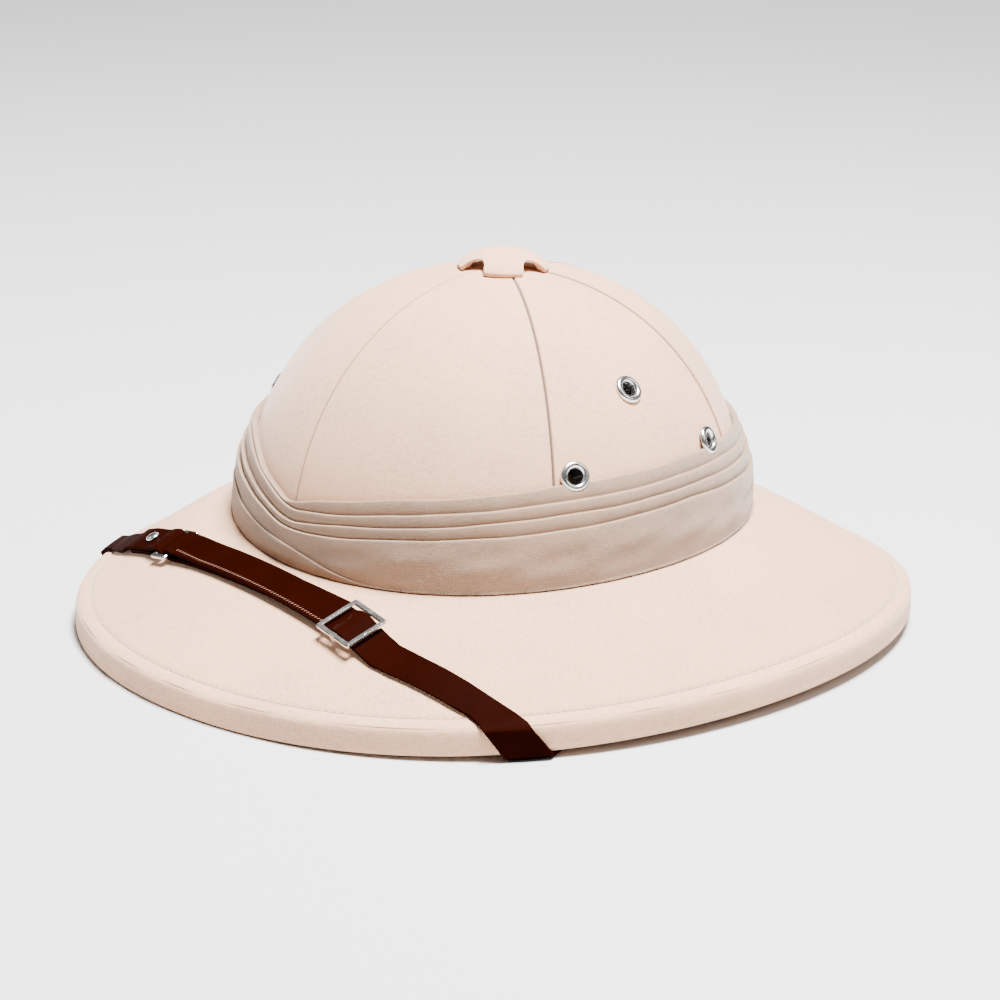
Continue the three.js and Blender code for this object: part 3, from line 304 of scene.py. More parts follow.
def cotton_twill(name, middle, light, dark, twill_mm, ripple_mm, rib_shade_share):
    """Cotton drill, a dyed twill of combed yarn: matt, with fine diagonal ribs, slubs in the yarn, and faint
    clouds where the glued cloth took the dye. The grooves between the ribs are darkened in the colour by the
    rib share, as painted shade. The real rib is about 0.45 mm and is drawn coarser so that it shows. The
    wave's bands lie across (u + v), so its scale is 2 pi / (10 x rib)."""
    material = new_finish(name)
    weave = add_node(material, "ShaderNodeUVMap", {"uv_map": "cloth_mm"}).outputs["UV"]
    place = add_node(material, "ShaderNodeTexCoord").outputs["Object"]
    ribs = add_node(material, "ShaderNodeTexWave", {
        "wave_type": "BANDS", "bands_direction": "DIAGONAL", "Scale": 2 * np.pi / (10 * twill_mm),
        "Distortion": 0.6, "Detail": 2.0, "Detail Scale": 0.6}, {"Vector": weave})
    yarn_map = add_node(material, "ShaderNodeMapping", {"Scale": (3.2, 0.5, 1.0)}, {"Vector": weave})
    yarn = add_node(material, "ShaderNodeTexNoise", {"Scale": 0.7, "Detail": 3.0, "Roughness": 0.6},
                    {"Vector": yarn_map.outputs["Vector"]})
    cross_map = add_node(material, "ShaderNodeMapping", {"Scale": (0.35, 2.6, 1.0)}, {"Vector": weave})
    cross = add_node(material, "ShaderNodeTexNoise", {"Scale": 0.7, "Detail": 2.0, "Roughness": 0.5},
                     {"Vector": cross_map.outputs["Vector"]})
    cloud = add_node(material, "ShaderNodeTexNoise", {"Scale": 22.0, "Detail": 4.0, "Roughness": 0.55},
                     {"Vector": place})
    ripple = add_node(material, "ShaderNodeTexNoise", {"Scale": 34.0, "Detail": 2.0, "Roughness": 0.4},
                      {"Vector": place})
    slub = add_node(material, "ShaderNodeMath", {"operation": "ADD"},
                    {0: yarn.outputs["Fac"], 1: cross.outputs["Fac"]})
    shade = add_node(material, "ShaderNodeMapRange", {"From Min": 0.62, "From Max": 1.38},
                     {"Value": slub.outputs[0]})
    tone = add_node(material, "ShaderNodeMix", {"data_type": "RGBA"}, {0: shade.outputs["Result"]})
    tone.inputs[6].default_value = to_linear(dark)
    tone.inputs[7].default_value = to_linear(light)
    # Painted shade: the wave's low bands, the grooves of the ribs' bump, darken the cloth's colour by the rib
    # share
    rib_groove_shade = add_node(material, "ShaderNodeMix", {"data_type": "RGBA", "blend_type": "MULTIPLY"},
                        {6: tone.outputs[2], 7: ribs.outputs["Color"]})
    rib_groove_shade.inputs[0].default_value = rib_shade_share
    cloud_amount = add_node(material, "ShaderNodeMapRange",
                            {"From Min": 0.35, "From Max": 0.7, "To Max": 0.5},
                            {"Value": cloud.outputs["Fac"]})
    cloud_tone = add_node(material, "ShaderNodeMix", {"data_type": "RGBA"},
                          {0: cloud_amount.outputs["Result"], 6: rib_groove_shade.outputs[2]})
    cloud_tone.inputs[7].default_value = to_linear(middle)
    coarse = add_node(material, "ShaderNodeBump", {"Strength": 1.0, "Distance": ripple_mm * 0.001},
                      {"Height": ripple.outputs["Fac"]})
    fine = add_node(material, "ShaderNodeBump", {"Strength": 0.35, "Distance": 0.00018},
                    {"Height": ribs.outputs["Fac"], "Normal": coarse.outputs["Normal"]})
    threads = add_node(material, "ShaderNodeBump", {"Strength": 0.5, "Distance": 0.00016},
                       {"Height": slub.outputs[0], "Normal": fine.outputs["Normal"]})
    # Painted shade: the seam attribute darkens the cloth toward the seams' shade colour in their folds
    sewn = add_node(material, "ShaderNodeAttribute", {"attribute_name": "seam_painted_shade"})
    seam_shade_amount = add_node(material, "ShaderNodeMapRange", {"To Max": 0.85}, {"Value": sewn.outputs["Fac"]})
    seam_shaded_tone = add_node(material, "ShaderNodeMix", {"data_type": "RGBA"},
                         {0: seam_shade_amount.outputs["Result"], 6: cloud_tone.outputs[2]})
    seam_shaded_tone.inputs[7].default_value = to_linear(SEAM_PAINTED_SHADE_HEX)
    rough = add_node(material, "ShaderNodeMapRange", {"To Min": 0.82, "To Max": 0.95},
                     {"Value": yarn.outputs["Fac"]})
    skin = add_node(material, "ShaderNodeBsdfPrincipled",
                    {"Sheen Weight": 0.25, "Sheen Roughness": 0.5, "Specular IOR Level": 0.3},
                    {"Base Color": seam_shaded_tone.outputs[2], "Roughness": rough.outputs["Result"],
                     "Normal": threads.outputs["Normal"]})
    add_node(material, "ShaderNodeOutputMaterial", None, {"Surface": skin.outputs["BSDF"]})
    return material


def crown_frame(a, h):
    """Axes on the crown's outside: x round the hat, z straight out, from differences of the surface."""
    z = CROWN_BASE + h * CROWN_HEIGHT
    point = crown_point(a, z, 0.0)
    along = crown_point(a + 0.01, z, 0.0) - point
    up = crown_point(a, z + 0.01 * CROWN_HEIGHT, 0.0) - point
    along /= np.linalg.norm(along)
    out = np.cross(along, up)
    out /= np.linalg.norm(out)
    result = np.eye(4)
    result[:3, 0], result[:3, 1], result[:3, 2], result[:3, 3] = along, np.cross(out, along), out, point
    return result


def spun_piece(name, profile, frame_matrix, steps):
    """Lathe surface: a profile of (radius, height) rows carried round the frame's own z axis."""
    spin = np.linspace(-np.pi, np.pi, steps, endpoint=False)
    profile = np.asarray(profile, dtype=float)
    local = np.stack([profile[:, :1] * np.cos(spin), profile[:, :1] * np.sin(spin),
                      np.broadcast_to(profile[:, 1:], (len(profile), steps))], -1)
    points = local @ frame_matrix[:3, :3].T + frame_matrix[:3, 3]
    uv = np.zeros(points.shape[:2] + (2, 2))
    uv[..., 0, 0], uv[..., 1, 0] = spin, np.append(spin[1:], np.pi)
    uv[..., 1] = along_rows(points)[..., None]
    return grid_piece(name, points, uv)


def pierced(piece, flange_hole):
    """The piece with a round hole of the eyelets' size through it at each eyelet, wider from the level that
    the eyelet's flange is pressed down to."""
    for side in (1, -1):
        for _, turn, h in EYELETS:
            outline = [(0.001, -PUNCH_DEPTH), (EYELET_HOLE, -PUNCH_DEPTH), (EYELET_HOLE, PRESSED_BAND),
                       (flange_hole, PRESSED_BAND), (flange_hole, PUNCH_DEPTH), (0.001, PUNCH_DEPTH)]
            punch = spun_piece("punch", outline, crown_frame(side * turn, h), 32)
            punch.data.polygons.foreach_set("use_smooth", np.zeros(len(punch.data.polygons), dtype=bool))
            hole = piece.modifiers.new("hole", "BOOLEAN")
            hole.operation, hole.solver, hole.object = "DIFFERENCE", "EXACT", punch
            depsgraph = bpy.context.evaluated_depsgraph_get()
            mesh = bpy.data.meshes.new_from_object(piece.evaluated_get(depsgraph))
            piece.modifiers.clear()
            piece.data = mesh
            mesh.name = piece.name
            bpy.data.objects.remove(punch)
    return piece


crown_twill = cotton_twill("crown_cotton_drill", CLOTH_HEX, CLOTH_LIGHT_HEX, CLOTH_DARK_HEX, 0.9, 0.5, 0.3)
shell = grid_piece("shell_cloth", shell_points, shell_uv, closed_rows=True)
# Painted shade in the seams: how deep each point lies in a seam, exp(-(distance / width)^2), sets how far the
# cloth's colour is darkened there, standing in for the shade in the seam's fold
seam_painted_shade = np.zeros(shell_points.shape[:2])
seam_distance = turned(turns[None, :, None], CROWN_SEAMS[None, None, :]) * crown_radius[..., None]
outside = slice(crown_from, crown_from + len(crown_rows))
seam_painted_shade[outside] = np.exp(-((seam_distance / SEAM_PAINTED_SHADE_WIDTH) ** 2)).max(-1)
shell.data.attributes.new("seam_painted_shade", "FLOAT", "POINT").data.foreach_set("value", seam_painted_shade.ravel())
shell = pierced(shell, EYELET_HOLE + 0.01)
shell.data.materials.append(crown_twill)
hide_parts("shell")
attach(shell, "root")


# Brim binding: the brim cloth's own edge, turned round the rim and sewn through with one row of lockstitch.
# The thread pulls the cloth down a little at each stitch, so the edge puckers between them.
STITCH_LENGTH, STITCH_GAP, STITCH_SINK, THREAD_RADIUS = 2.3, 0.9, 0.22, 0.26
PUCKER_DEPTH, PUCKER_REACH = 0.22, 2.2
STRETCH_DEPTH, STRETCH_LOW, STRETCH_HIGH = 0.16, 2.0, 10.5

rim_turns = np.linspace(-np.pi, np.pi, 640, endpoint=False)
rim_step = np.linalg.norm(np.roll(rim_plan(rim_turns), -1, 0) - rim_plan(rim_turns), axis=-1)
rim_walk = np.concatenate([[0], np.cumsum(rim_step)])
rim_length = rim_walk[-1]
rim_walk = rim_walk[:-1]


def rounded(corners, passes):
    """Corner cutting on an open profile (corners, ..., 2): each pass puts points a quarter from both ends
    of each side and keeps the profile's two ends."""
    for _ in range(passes):
        near = corners[:-1] * 0.75 + corners[1:] * 0.25
        far = corners[:-1] * 0.25 + corners[1:] * 0.75
        middle = np.stack([near, far], 1).reshape((-1,) + corners.shape[1:])
        corners = np.concatenate([corners[:1], middle, corners[-1:]])
    return corners


rim_foot = rim_bottom(rim_turns)
rim_top = brim_top(rim_turns, inset_share(rim_turns, BINDING_WIDTH)) - rim_foot
flat = np.zeros_like(rim_turns)
# Sections of the binding as rows of (distance in from the brim's edge, height over its foot): the outer one
# runs from the sewing over the rim and under it, and the inner one back along the cork
outer = np.stack([np.stack([flat + inset, height + flat], -1) for inset, height in (
    (BINDING_WIDTH, rim_top - 0.55), (BINDING_WIDTH, rim_top - 0.05), (BINDING_WIDTH - 1.0, rim_top - 0.3),
    (3.2, 11.75), (1.2, 10.75), (0, 8.9), (0, 1.5), (0.9, 0.0), (BINDING_WIDTH, 0.0))])
outer = rounded(outer, 3)
inner = np.stack([np.stack([flat + inset, height + flat], -1) for inset, height in (
    (BINDING_WIDTH, BINDING_WALL), (BINDING_WALL, BINDING_WALL), (BINDING_WALL, RIM_FACE_HEIGHT),
    (BINDING_WALL + RIM_BEND / 2, RIM_FACE_HEIGHT + RIM_BEND - BINDING_WALL),
    (BINDING_WIDTH, rim_top - BINDING_WALL))])
profile = np.concatenate([outer, inner])
from_sewing = (BINDING_WIDTH - profile[..., 0]) / PUCKER_REACH
puckered = np.exp(-(from_sewing ** 2)) * (profile[..., 1] > RIM_FACE_HEIGHT)
ripple = 0.5 + 0.5 * np.cos(2 * np.pi * rim_walk / (STITCH_LENGTH + STITCH_GAP)) * (
    0.7 + 0.3 * np.sin(17 * rim_turns) * np.cos(41 * rim_turns))
profile[:len(outer), :, 1] -= (PUCKER_DEPTH * puckered * ripple)[:len(outer)]
# Long faint waves along the edge's face, where the glued cloth was stretched round the curve
on_face = (profile[:len(outer), :, 1] > STRETCH_LOW) * (profile[:len(outer), :, 1] < STRETCH_HIGH)
stretch_wave = 1 + np.sin(23 * rim_turns + 2 * np.sin(5 * rim_turns))
profile[:len(outer), :, 0] += STRETCH_DEPTH * stretch_wave * on_face
binding_points = inset_point(rim_turns, profile[..., 0], rim_foot + profile[..., 1])
across = along_rows(profile)
binding_uv = np.empty(binding_points.shape[:2] + (2, 2))
binding_uv[..., 0, 0] = rim_walk
binding_uv[..., 1, 0] = np.append(rim_walk[1:], rim_length)
binding_uv[..., 0, 1] = across
binding_uv[..., 1, 1] = np.roll(across, -1, 1)
binding = grid_piece("brim_binding_cloth", binding_points, binding_uv, closed_rows=True)
binding.data.materials.append(crown_twill)
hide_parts("brim_binding")
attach(binding, "root")


def stitch_row(name, centres, directions, ups, length, radius):
    """Stitches of sewing thread: each is a small capsule x(t) = t L/2, with an arched middle, a section of
    six sides and radius r sqrt(1 - t^4), laid along its direction with its back on the cloth."""
    t = np.array([-1.0, -0.8, 0.0, 0.8, 1.0])
    spin = np.linspace(0, 2 * np.pi, 6, endpoint=False)
    rings, corners = len(t), len(spin)
    sides = np.cross(ups, directions)
    thick = radius * np.sqrt(np.maximum(1 - t ** 4, 0.02))
    rise = radius * 0.9 * (1 - t ** 2) - radius * 0.35
    local_x = np.broadcast_to(t[:, None] * length / 2, (rings, corners))
    local_y = thick[:, None] * np.cos(spin)
    local_z = thick[:, None] * np.sin(spin) + rise[:, None]
    points = (centres[:, None, None] + local_x[None, ..., None] * directions[:, None, None]
              + local_y[None, ..., None] * sides[:, None, None]
              + local_z[None, ..., None] * ups[:, None, None])
    base = (np.arange(len(centres)) * rings * corners)[:, None, None]
    low = base + (np.arange(rings - 1) * corners)[None, :, None]
    high = low + corners
    left = np.arange(corners)[None, None, :]
    right = (left + 1) % corners
    quads = np.stack(np.broadcast_arrays(low + left, low + right, high + right, high + left), -1)
    start = base[:, 0] + np.arange(corners)[::-1]
    end = base[:, 0] + (rings - 1) * corners + np.arange(corners)
    mesh = bpy.data.meshes.new(name)
    mesh.from_pydata((points.reshape(-1, 3) * 0.001).tolist(), [],
                     quads.reshape(-1, 4).tolist() + start.tolist() + end.tolist())
    mesh.polygons.foreach_set("use_smooth", np.ones(len(mesh.polygons), dtype=bool))
    if signed_volume(mesh) < 0:
        mesh.flip_normals()
    piece = bpy.data.objects.new(name, mesh)
    bpy.context.scene.collection.objects.link(piece)
    return piece


def sewing_thread(name, code):
    """Spun polyester sewing thread: matt and twisted, with a painted highlight on its raised turns that makes
    it a little lighter than the cloth there. The twist is drawn at 0.5 mm."""
    material = new_finish(name)
    place = add_node(material, "ShaderNodeTexCoord").outputs["Object"]
    twist = add_node(material, "ShaderNodeTexWave",
                     {"bands_direction": "DIAGONAL", "Scale": 600.0, "Distortion": 1.0}, {"Vector": place})
    # Painted highlight: the twist's raised turns, where the bump is high, are mixed toward a lighter colour
    tone = add_node(material, "ShaderNodeMix", {"data_type": "RGBA"}, {0: twist.outputs["Fac"]})
    tone.inputs[6].default_value = to_linear(code)
    tone.inputs[7].default_value = tuple(min(1.0, c * 1.25) for c in to_linear(code)[:3]) + (1.0,)
    bump = add_node(material, "ShaderNodeBump", {"Strength": 0.4, "Distance": 0.0001},
                    {"Height": twist.outputs["Fac"]})
    skin = add_node(material, "ShaderNodeBsdfPrincipled", {"Roughness": 0.7, "Sheen Weight": 0.2},
                    {"Base Color": tone.outputs[2], "Normal": bump.outputs["Normal"]})
    add_node(material, "ShaderNodeOutputMaterial", None, {"Surface": skin.outputs["BSDF"]})
    return material


beige_thread = sewing_thread("beige_sewing_thread", "#C9B5A4")
edge_count = int(rim_length / (STITCH_LENGTH + STITCH_GAP))
edge_walk = (np.arange(edge_count) + 0.5) * rim_length / edge_count
edge_turn = np.interp(edge_walk, np.append(rim_walk, rim_length), np.append(rim_turns, np.pi))


def edge_stitch_point(a):
    """Point on the binding's sewn line, a little under the cloth's face."""
    share_at = inset_share(a, BINDING_WIDTH + SEAT_GAP / 2)
    return brim_point(a, share_at, brim_top(a, share_at) - STITCH_SINK)


edge_at = edge_stitch_point(edge_turn)
edge_run = edge_stitch_point(edge_turn + 0.002) - edge_stitch_point(edge_turn - 0.002)
edge_run /= np.linalg.norm(edge_run, axis=-1, keepdims=True)
edge_in = inset_point(edge_turn, 12.0, brim_top(edge_turn, inset_share(edge_turn, 12.0))) - edge_at
edge_up = np.cross(edge_in, edge_run)
edge_up /= np.linalg.norm(edge_up, axis=-1, keepdims=True)
edge_up *= np.sign(edge_up[:, 2:3])
edge_stitches = stitch_row("brim_edge_stitches", edge_at, edge_run, edge_up, STITCH_LENGTH, THREAD_RADIUS)
edge_stitches.data.materials.append(beige_thread)
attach(edge_stitches, "root")


# Crown seams: each gore's edge is turned under and topstitched 2 mm beside the seam with the same thread.
# The stitches follow the seam from the band up to the button.
TOPSTITCH_OFFSET, SEAM_STITCH_LENGTH, SEAM_STITCH_GAP, SEAM_THREAD_RADIUS = 2.0, 1.7, 1.0, 0.2
SEAM_ABOVE_BASE, SEAM_BELOW_TOP, SEAM_END = 12, 1.6, 1.0

seam_heights = np.linspace(CROWN_BASE + SEAM_ABOVE_BASE, apex - SEAM_BELOW_TOP, 400)
seam_sets = [[], [], []]
for seam in CROWN_SEAMS:
    def on_seam(z):
        """Point on the stitched line beside this seam at height z."""
        width = np.linalg.norm(crown_point(seam, z, 0.0)[..., :2] - [0, BRIM_EGG + CROWN_BACKSET], axis=-1)
        return crown_point(seam + TOPSTITCH_OFFSET / width, z, 0.12)
    line = on_seam(seam_heights)
    walk = along_rows(line[:, None])[:, 0]
    spots = np.arange(SEAM_END, walk[-1] - SEAM_END, SEAM_STITCH_LENGTH + SEAM_STITCH_GAP)
    at = np.stack([np.interp(spots, walk, line[:, k]) for k in range(3)], -1)
    ahead = np.stack([np.interp(spots + 0.4, walk, line[:, k]) for k in range(3)], -1)
    run = (ahead - at) / np.linalg.norm(ahead - at, axis=-1, keepdims=True)
    out_way = at - [0, BRIM_EGG + CROWN_BACKSET, CROWN_BASE - 10]
    out_way -= (out_way * run).sum(-1, keepdims=True) * run
    for kept, new in zip(seam_sets, (at, run, out_way / np.linalg.norm(out_way, axis=-1, keepdims=True))):
        kept.append(new)
seam_at, seam_run, seam_up = (np.concatenate(kept) for kept in seam_sets)
seam_stitches = stitch_row("crown_seam_stitches", seam_at, seam_run, seam_up,
                           SEAM_STITCH_LENGTH, SEAM_THREAD_RADIUS)
seam_stitches.data.materials.append(beige_thread)
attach(seam_stitches, "root")


# Pugaree: a long scarf of the same twill, folded into four flat pleats and wrapped round the crown's foot.
# Its colour is set darker than the crown's, partly as the band's own darker cloth and partly as painted shade
# for the band's upright face.
# Each pleat is a soft folded edge lying over the one above, and the end is wrapped over at the front.
PUGAREE_HEIGHT, PUGAREE_TOP_STEP, FOLD_STEP = 37.2, 3.0, 0.8
# Darker than the crown's cloth: partly the band's own colour, partly painted shade on its upright face
SHADED_BAND_HEX, SHADED_BAND_LIGHT_HEX, SHADED_BAND_DARK_HEX = "#A4846B", "#B3947C", "#8A6E57"
FOLD_LIP_DROP, FOLD_TUCK, FOLD_TUCK_POWER = 0.3375, 0.95, 2.2
DRAPE_DEPTH, CREASE_DEPTH = 0.55, 0.10
SWAY_LONG, SWAY_SHORT = 0.0035, 0.0025
PLEATS = np.array([
    # angle, top, first, second, third, wrap, wrap out (shares of the band's height and of a fold step)
    [-180, 1.00, 0.86, 0.72, 0.58, 0.30, 1],
    [-90, 1.00, 0.94, 0.74, 0.62, 0.40, 1],
    [-37, 0.97, 0.93, 0.73, 0.61, 0.38, 1],
    [-29, 0.88, 0.85, 0.66, 0.57, 0.335, 1],
    [-22, 0.78, 0.76, 0.60, 0.51, 0.29, 1],
    [-15, 0.70, 0.68, 0.53, 0.45, 0.25, 1],
    [-9.5, 0.625, 0.60, 0.47, 0.40, 0.24, 1],
    [-5.5, 0.66, 0.575, 0.455, 0.39, 0.22, 1],
    [0.6, 0.735, 0.615, 0.505, 0.405, 0.175, 1],
    [8.9, 0.80, 0.665, 0.565, 0.45, 0.09, 0.9],
    [15.4, 0.855, 0.71, 0.605, 0.49, 0.03, 0.4],
    [22, 0.90, 0.755, 0.635, 0.52, 0.02, 0],
    [30, 0.93, 0.79, 0.66, 0.545, 0.02, 0],
    [43, 0.965, 0.82, 0.70, 0.57, 0.02, 0],
    [62, 1.00, 0.85, 0.735, 0.595, 0.02, 0],
    [97, 0.99, 0.84, 0.72, 0.61, 0.02, 0],
    [135, 0.94, 0.80, 0.67, 0.50, 0.04, 0.1],
    [180, 1.00, 0.86, 0.72, 0.58, 0.30, 1],
])

band_turns = np.linspace(-np.pi, np.pi, 720, endpoint=False)
band_degrees = np.degrees(band_turns)
pleat = [np.interp(band_degrees, PLEATS[:, 0], PLEATS[:, k]) for k in range(1, 7)]
# The table's corners are rounded off over about 3 degrees by a bell curve
kernel = np.exp(-((np.arange(-6, 7) / 3.0) ** 2))
pleat = [np.convolve(np.concatenate([p[-6:], p, p[:6]]), kernel / kernel.sum(), "valid") for p in pleat]
top, first, second, third, wrap, wrap_out = pleat
# Each fold's edge sways a little up and down on its own, in shares of the band's height
sway = [SWAY_LONG * np.sin(7 * band_turns + k) + SWAY_SHORT * np.sin(19 * band_turns + 2.3 * k)
        for k in range(5)]
base_z = crown_base(band_turns)
edges = [base_z + (share_k + sway_k) * PUGAREE_HEIGHT
         for share_k, sway_k in zip((top, first, second, third, wrap), sway)]
outs = [PUGAREE_TOP_STEP, PUGAREE_TOP_STEP + FOLD_STEP, PUGAREE_TOP_STEP + 2 * FOLD_STEP,
        PUGAREE_TOP_STEP + 3 * FOLD_STEP, PUGAREE_TOP_STEP + 2 * FOLD_STEP + wrap_out * FOLD_STEP + 0.1]
foot_z = base_z + SEAT_GAP


def fold(edge, edge_out, below, steps):
    """One pleat from its folded edge down to where the next covers it: a round lip, whose height falls by
    the drop x (1 + sin) and whose depth grows by the tuck x (1 - sin), then a face that sinks by the tuck
    x s^2.2 as it goes under."""
    lip = np.radians([-60, -20, 20, 55, 90])[:, None]
    z_lip = edge - FOLD_LIP_DROP * (1 + np.sin(lip - np.pi / 2))
    out_lip = edge_out - FOLD_TUCK * (1 - np.sin((lip + np.pi / 3) / (5 / 6 * np.pi) * (np.pi / 2)))
    s = np.linspace(0, 1, steps)[1:, None]
    z_face = (edge - FOLD_LIP_DROP) * (1 - s) + below * s
    out_face = edge_out - FOLD_TUCK * s ** FOLD_TUCK_POWER
    return np.concatenate([z_lip, z_face]), np.concatenate([np.broadcast_to(out_lip, z_lip.shape),
                                                          np.broadcast_to(out_face, z_face.shape)])


rows_z, rows_out = [], []
below_each = [edges[1] - 0.2, edges[2] - 0.2, edges[3] - 0.2, edges[4] - 0.2 * wrap_out, foot_z]
for k in range(5):
    z_rows, out_rows = fold(edges[k], outs[k], below_each[k], 12 if k < 3 else 26)
    if k == 4:
        out_rows = out_rows + FOLD_TUCK * 0.7 * (np.linspace(0, 1, len(out_rows))[:, None] ** FOLD_TUCK_POWER)
        # Where the wrapped end has run out, its lip sinks into the cloth above
        faded = 1 - np.clip(wrap_out, 0, 1)
        out_rows = out_rows + faded * (PUGAREE_TOP_STEP + 3 * FOLD_STEP - FOLD_TUCK * 0.6 - out_rows)
    rows_z.append(z_rows)
    rows_out.append(out_rows)
band_z = np.maximum(np.concatenate(rows_z), foot_z)
band_out = np.concatenate(rows_out)
# Soft drapes in the lowest cloth, slanting down to the right like the wrap
low = np.clip(1 - (band_z - base_z) / (third * PUGAREE_HEIGHT), 0, 1)
above_base = band_z - base_z
drape = (0.55 * np.sin(6.5 * band_turns + 0.32 * above_base)
         + 0.35 * np.sin(15 * band_turns - 0.5 * above_base + 1))
band_out = band_out + DRAPE_DEPTH * drape * np.sin(np.pi * low) ** 2
band_out = band_out + CREASE_DEPTH * np.sin(31 * band_turns + 0.2 * band_z) * np.sin(9 * band_turns)
# The band's back lies on the crown, and its top edge is turned in behind the first fold
rim_in = [crown_point(band_turns, z_row, SEAT_GAP) for z_row in (foot_z, base_z + 0.35 * PUGAREE_HEIGHT)]
tuck_z = np.minimum(edges[0] - 1.2, base_z + 0.9 * PUGAREE_HEIGHT)
rim_in.append(crown_point(band_turns, tuck_z, SEAT_GAP))
rim_in.append(crown_point(band_turns, edges[0] - 0.5, 0.6))
band_points = np.concatenate([crown_point(band_turns, band_z, band_out), np.stack(rim_in)])
band_walk = along_rows(band_points)
band_uv = np.empty(band_points.shape[:2] + (2, 2))
band_uv[..., 0, 0] = band_turns * CROWN_HALF_WIDTH
band_uv[..., 1, 0] = np.append(band_turns[1:], np.pi) * CROWN_HALF_WIDTH
band_uv[..., 0, 1] = -band_walk
band_uv[..., 1, 1] = -np.roll(band_walk, -1, 1)
pugaree = pierced(grid_piece("pugaree_cloth", band_points, band_uv, closed_rows=True), FLANGE_HOLE)
# The band's cloth carries painted shade in its darker colour
shaded_band_twill = cotton_twill("pugaree_drill_painted_shade", SHADED_BAND_HEX, SHADED_BAND_LIGHT_HEX, SHADED_BAND_DARK_HEX, 1.0, 0.35, 0.42)
pugaree.data.materials.append(shaded_band_twill)
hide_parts("pugaree")
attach(pugaree, "root")


# Vent button: a moulded cap covered with the same cloth, standing on four lobes with an open arch between
# each two, so that air leaves through the hole under it. A plain nickel post behind it holds it down.
BUTTON_RADIUS, BUTTON_RISE, BUTTON_EDGE, BUTTON_WALL = 18.0, 7.2, 1.6, 2.4
BUTTON_SIDE_ROUNDNESS, BUTTON_TOP_ROUNDNESS = 2.2, 0.85
BUTTON_SKIRT, BUTTON_ARCH_RADIUS, BUTTON_ARCH_HEIGHT, CAP_GAP = 4.5, 6.4, 4.6, 0.45
POST_RADIUS, POST_HEAD_RADIUS, POST_HEAD_HEIGHT = 2.5, 8.0, 1.6

button_turns = np.linspace(-np.pi, np.pi, 160, endpoint=False)
crown_top = np.array([0, BRIM_EGG + CROWN_BACKSET + CROWN_LEAN, apex])


def crown_drop(r):
    """How far the crown has fallen at radius r from its top."""
    share_r = (1 - (r / CROWN_HALF_WIDTH) ** CROWN_SIDE_ROUNDNESS) ** (1 / CROWN_TOP_ROUNDNESS)
    return CROWN_HEIGHT * (1 - share_r)


def arch_height(a, r):
    """Clear height under the button: a round arch of radius R on each of four axes,
    sqrt(R^2 - s^2) - (R - h) where s = r sin(angle from the axis), nothing elsewhere."""
    from_axis = (a + np.pi / 4) % (np.pi / 2) - np.pi / 4
    s = r * np.sin(from_axis)
    round_arch = np.sqrt(np.maximum(BUTTON_ARCH_RADIUS ** 2 - s ** 2, 0))
    return np.maximum(round_arch - (BUTTON_ARCH_RADIUS - BUTTON_ARCH_HEIGHT), 0)


def cap_height(r):
    """Low dome: the edge height plus the rise times (1 - (r/R)^p)^q."""
    share_left = np.maximum(1 - (r / BUTTON_RADIUS) ** BUTTON_SIDE_ROUNDNESS, 0) ** BUTTON_TOP_ROUNDNESS
    return edge_z + (BUTTON_RISE - edge_z) * share_left


def under_height(a, r):
    """Underside of the cap: its foot on the crown, or the arch's vault where that stands higher."""
    return np.maximum(CAP_GAP - crown_drop(r), button_foot + arch_height(a, r))


button_foot = CAP_GAP - crown_drop(BUTTON_RADIUS)
edge_z = button_foot + BUTTON_EDGE
# The cap ends where its cloth meets the arch: halving the interval finds that radius in each direction
near, far = np.full_like(button_turns, 9.0), np.full_like(button_turns, BUTTON_RADIUS)
for _ in range(30):
    middle = (near + far) / 2
    clear = cap_height(middle) - under_height(button_turns, middle) > BUTTON_EDGE / 2
    near, far = np.where(clear, middle, near), np.where(clear, far, middle)
cap_end = far
dome_radii = [cap_end * np.maximum(np.sin(t), 1e-4) for t in np.linspace(0.0, np.pi / 2, 30)]
cap_rows = [(r, cap_height(r)) for r in dome_radii]
lip_top, lip_low = cap_height(cap_end), under_height(button_turns, cap_end - 0.5)
# Its edge turns under in two steps, and its skirt runs in along the crown and the arches to the hollow
cap_rows += [(cap_end + 0.05, lip_top * 0.6 + lip_low * 0.4),
             (cap_end - 0.1, lip_top * 0.25 + lip_low * 0.75)]
skirt_in = BUTTON_RADIUS - BUTTON_SKIRT
for share_r in (0.0, 0.35, 0.7, 1.0):
    r = (cap_end - 0.5) * (1 - share_r) + np.minimum(skirt_in, cap_end - 1.5) * share_r
    cap_rows.append((r, under_height(button_turns, r)))
hollow = BUTTON_RISE - BUTTON_WALL
inner_r = np.minimum(skirt_in, cap_end - 1.5) - 0.3
cap_rows += [(inner_r, np.maximum(under_height(button_turns, inner_r), hollow - 2.4)),
             (inner_r * 0.6, np.full_like(inner_r, hollow - 0.4)),
             (np.full_like(inner_r, 0.01), np.full_like(inner_r, hollow))]
cap_rings = [np.stack([r * np.sin(button_turns), -r * np.cos(button_turns), z], -1) for r, z in cap_rows]
button_points = np.stack(cap_rings) + crown_top
button_uv = np.repeat(button_points[:, :, None, :2], 2, 2)
button_uv[:, :, 1] = np.roll(button_points[..., :2], -1, 1)
button = grid_piece("vent_button_cloth", button_points, button_uv)
button.data.materials.append(crown_twill)
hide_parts("vent_button")
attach(button, "root")


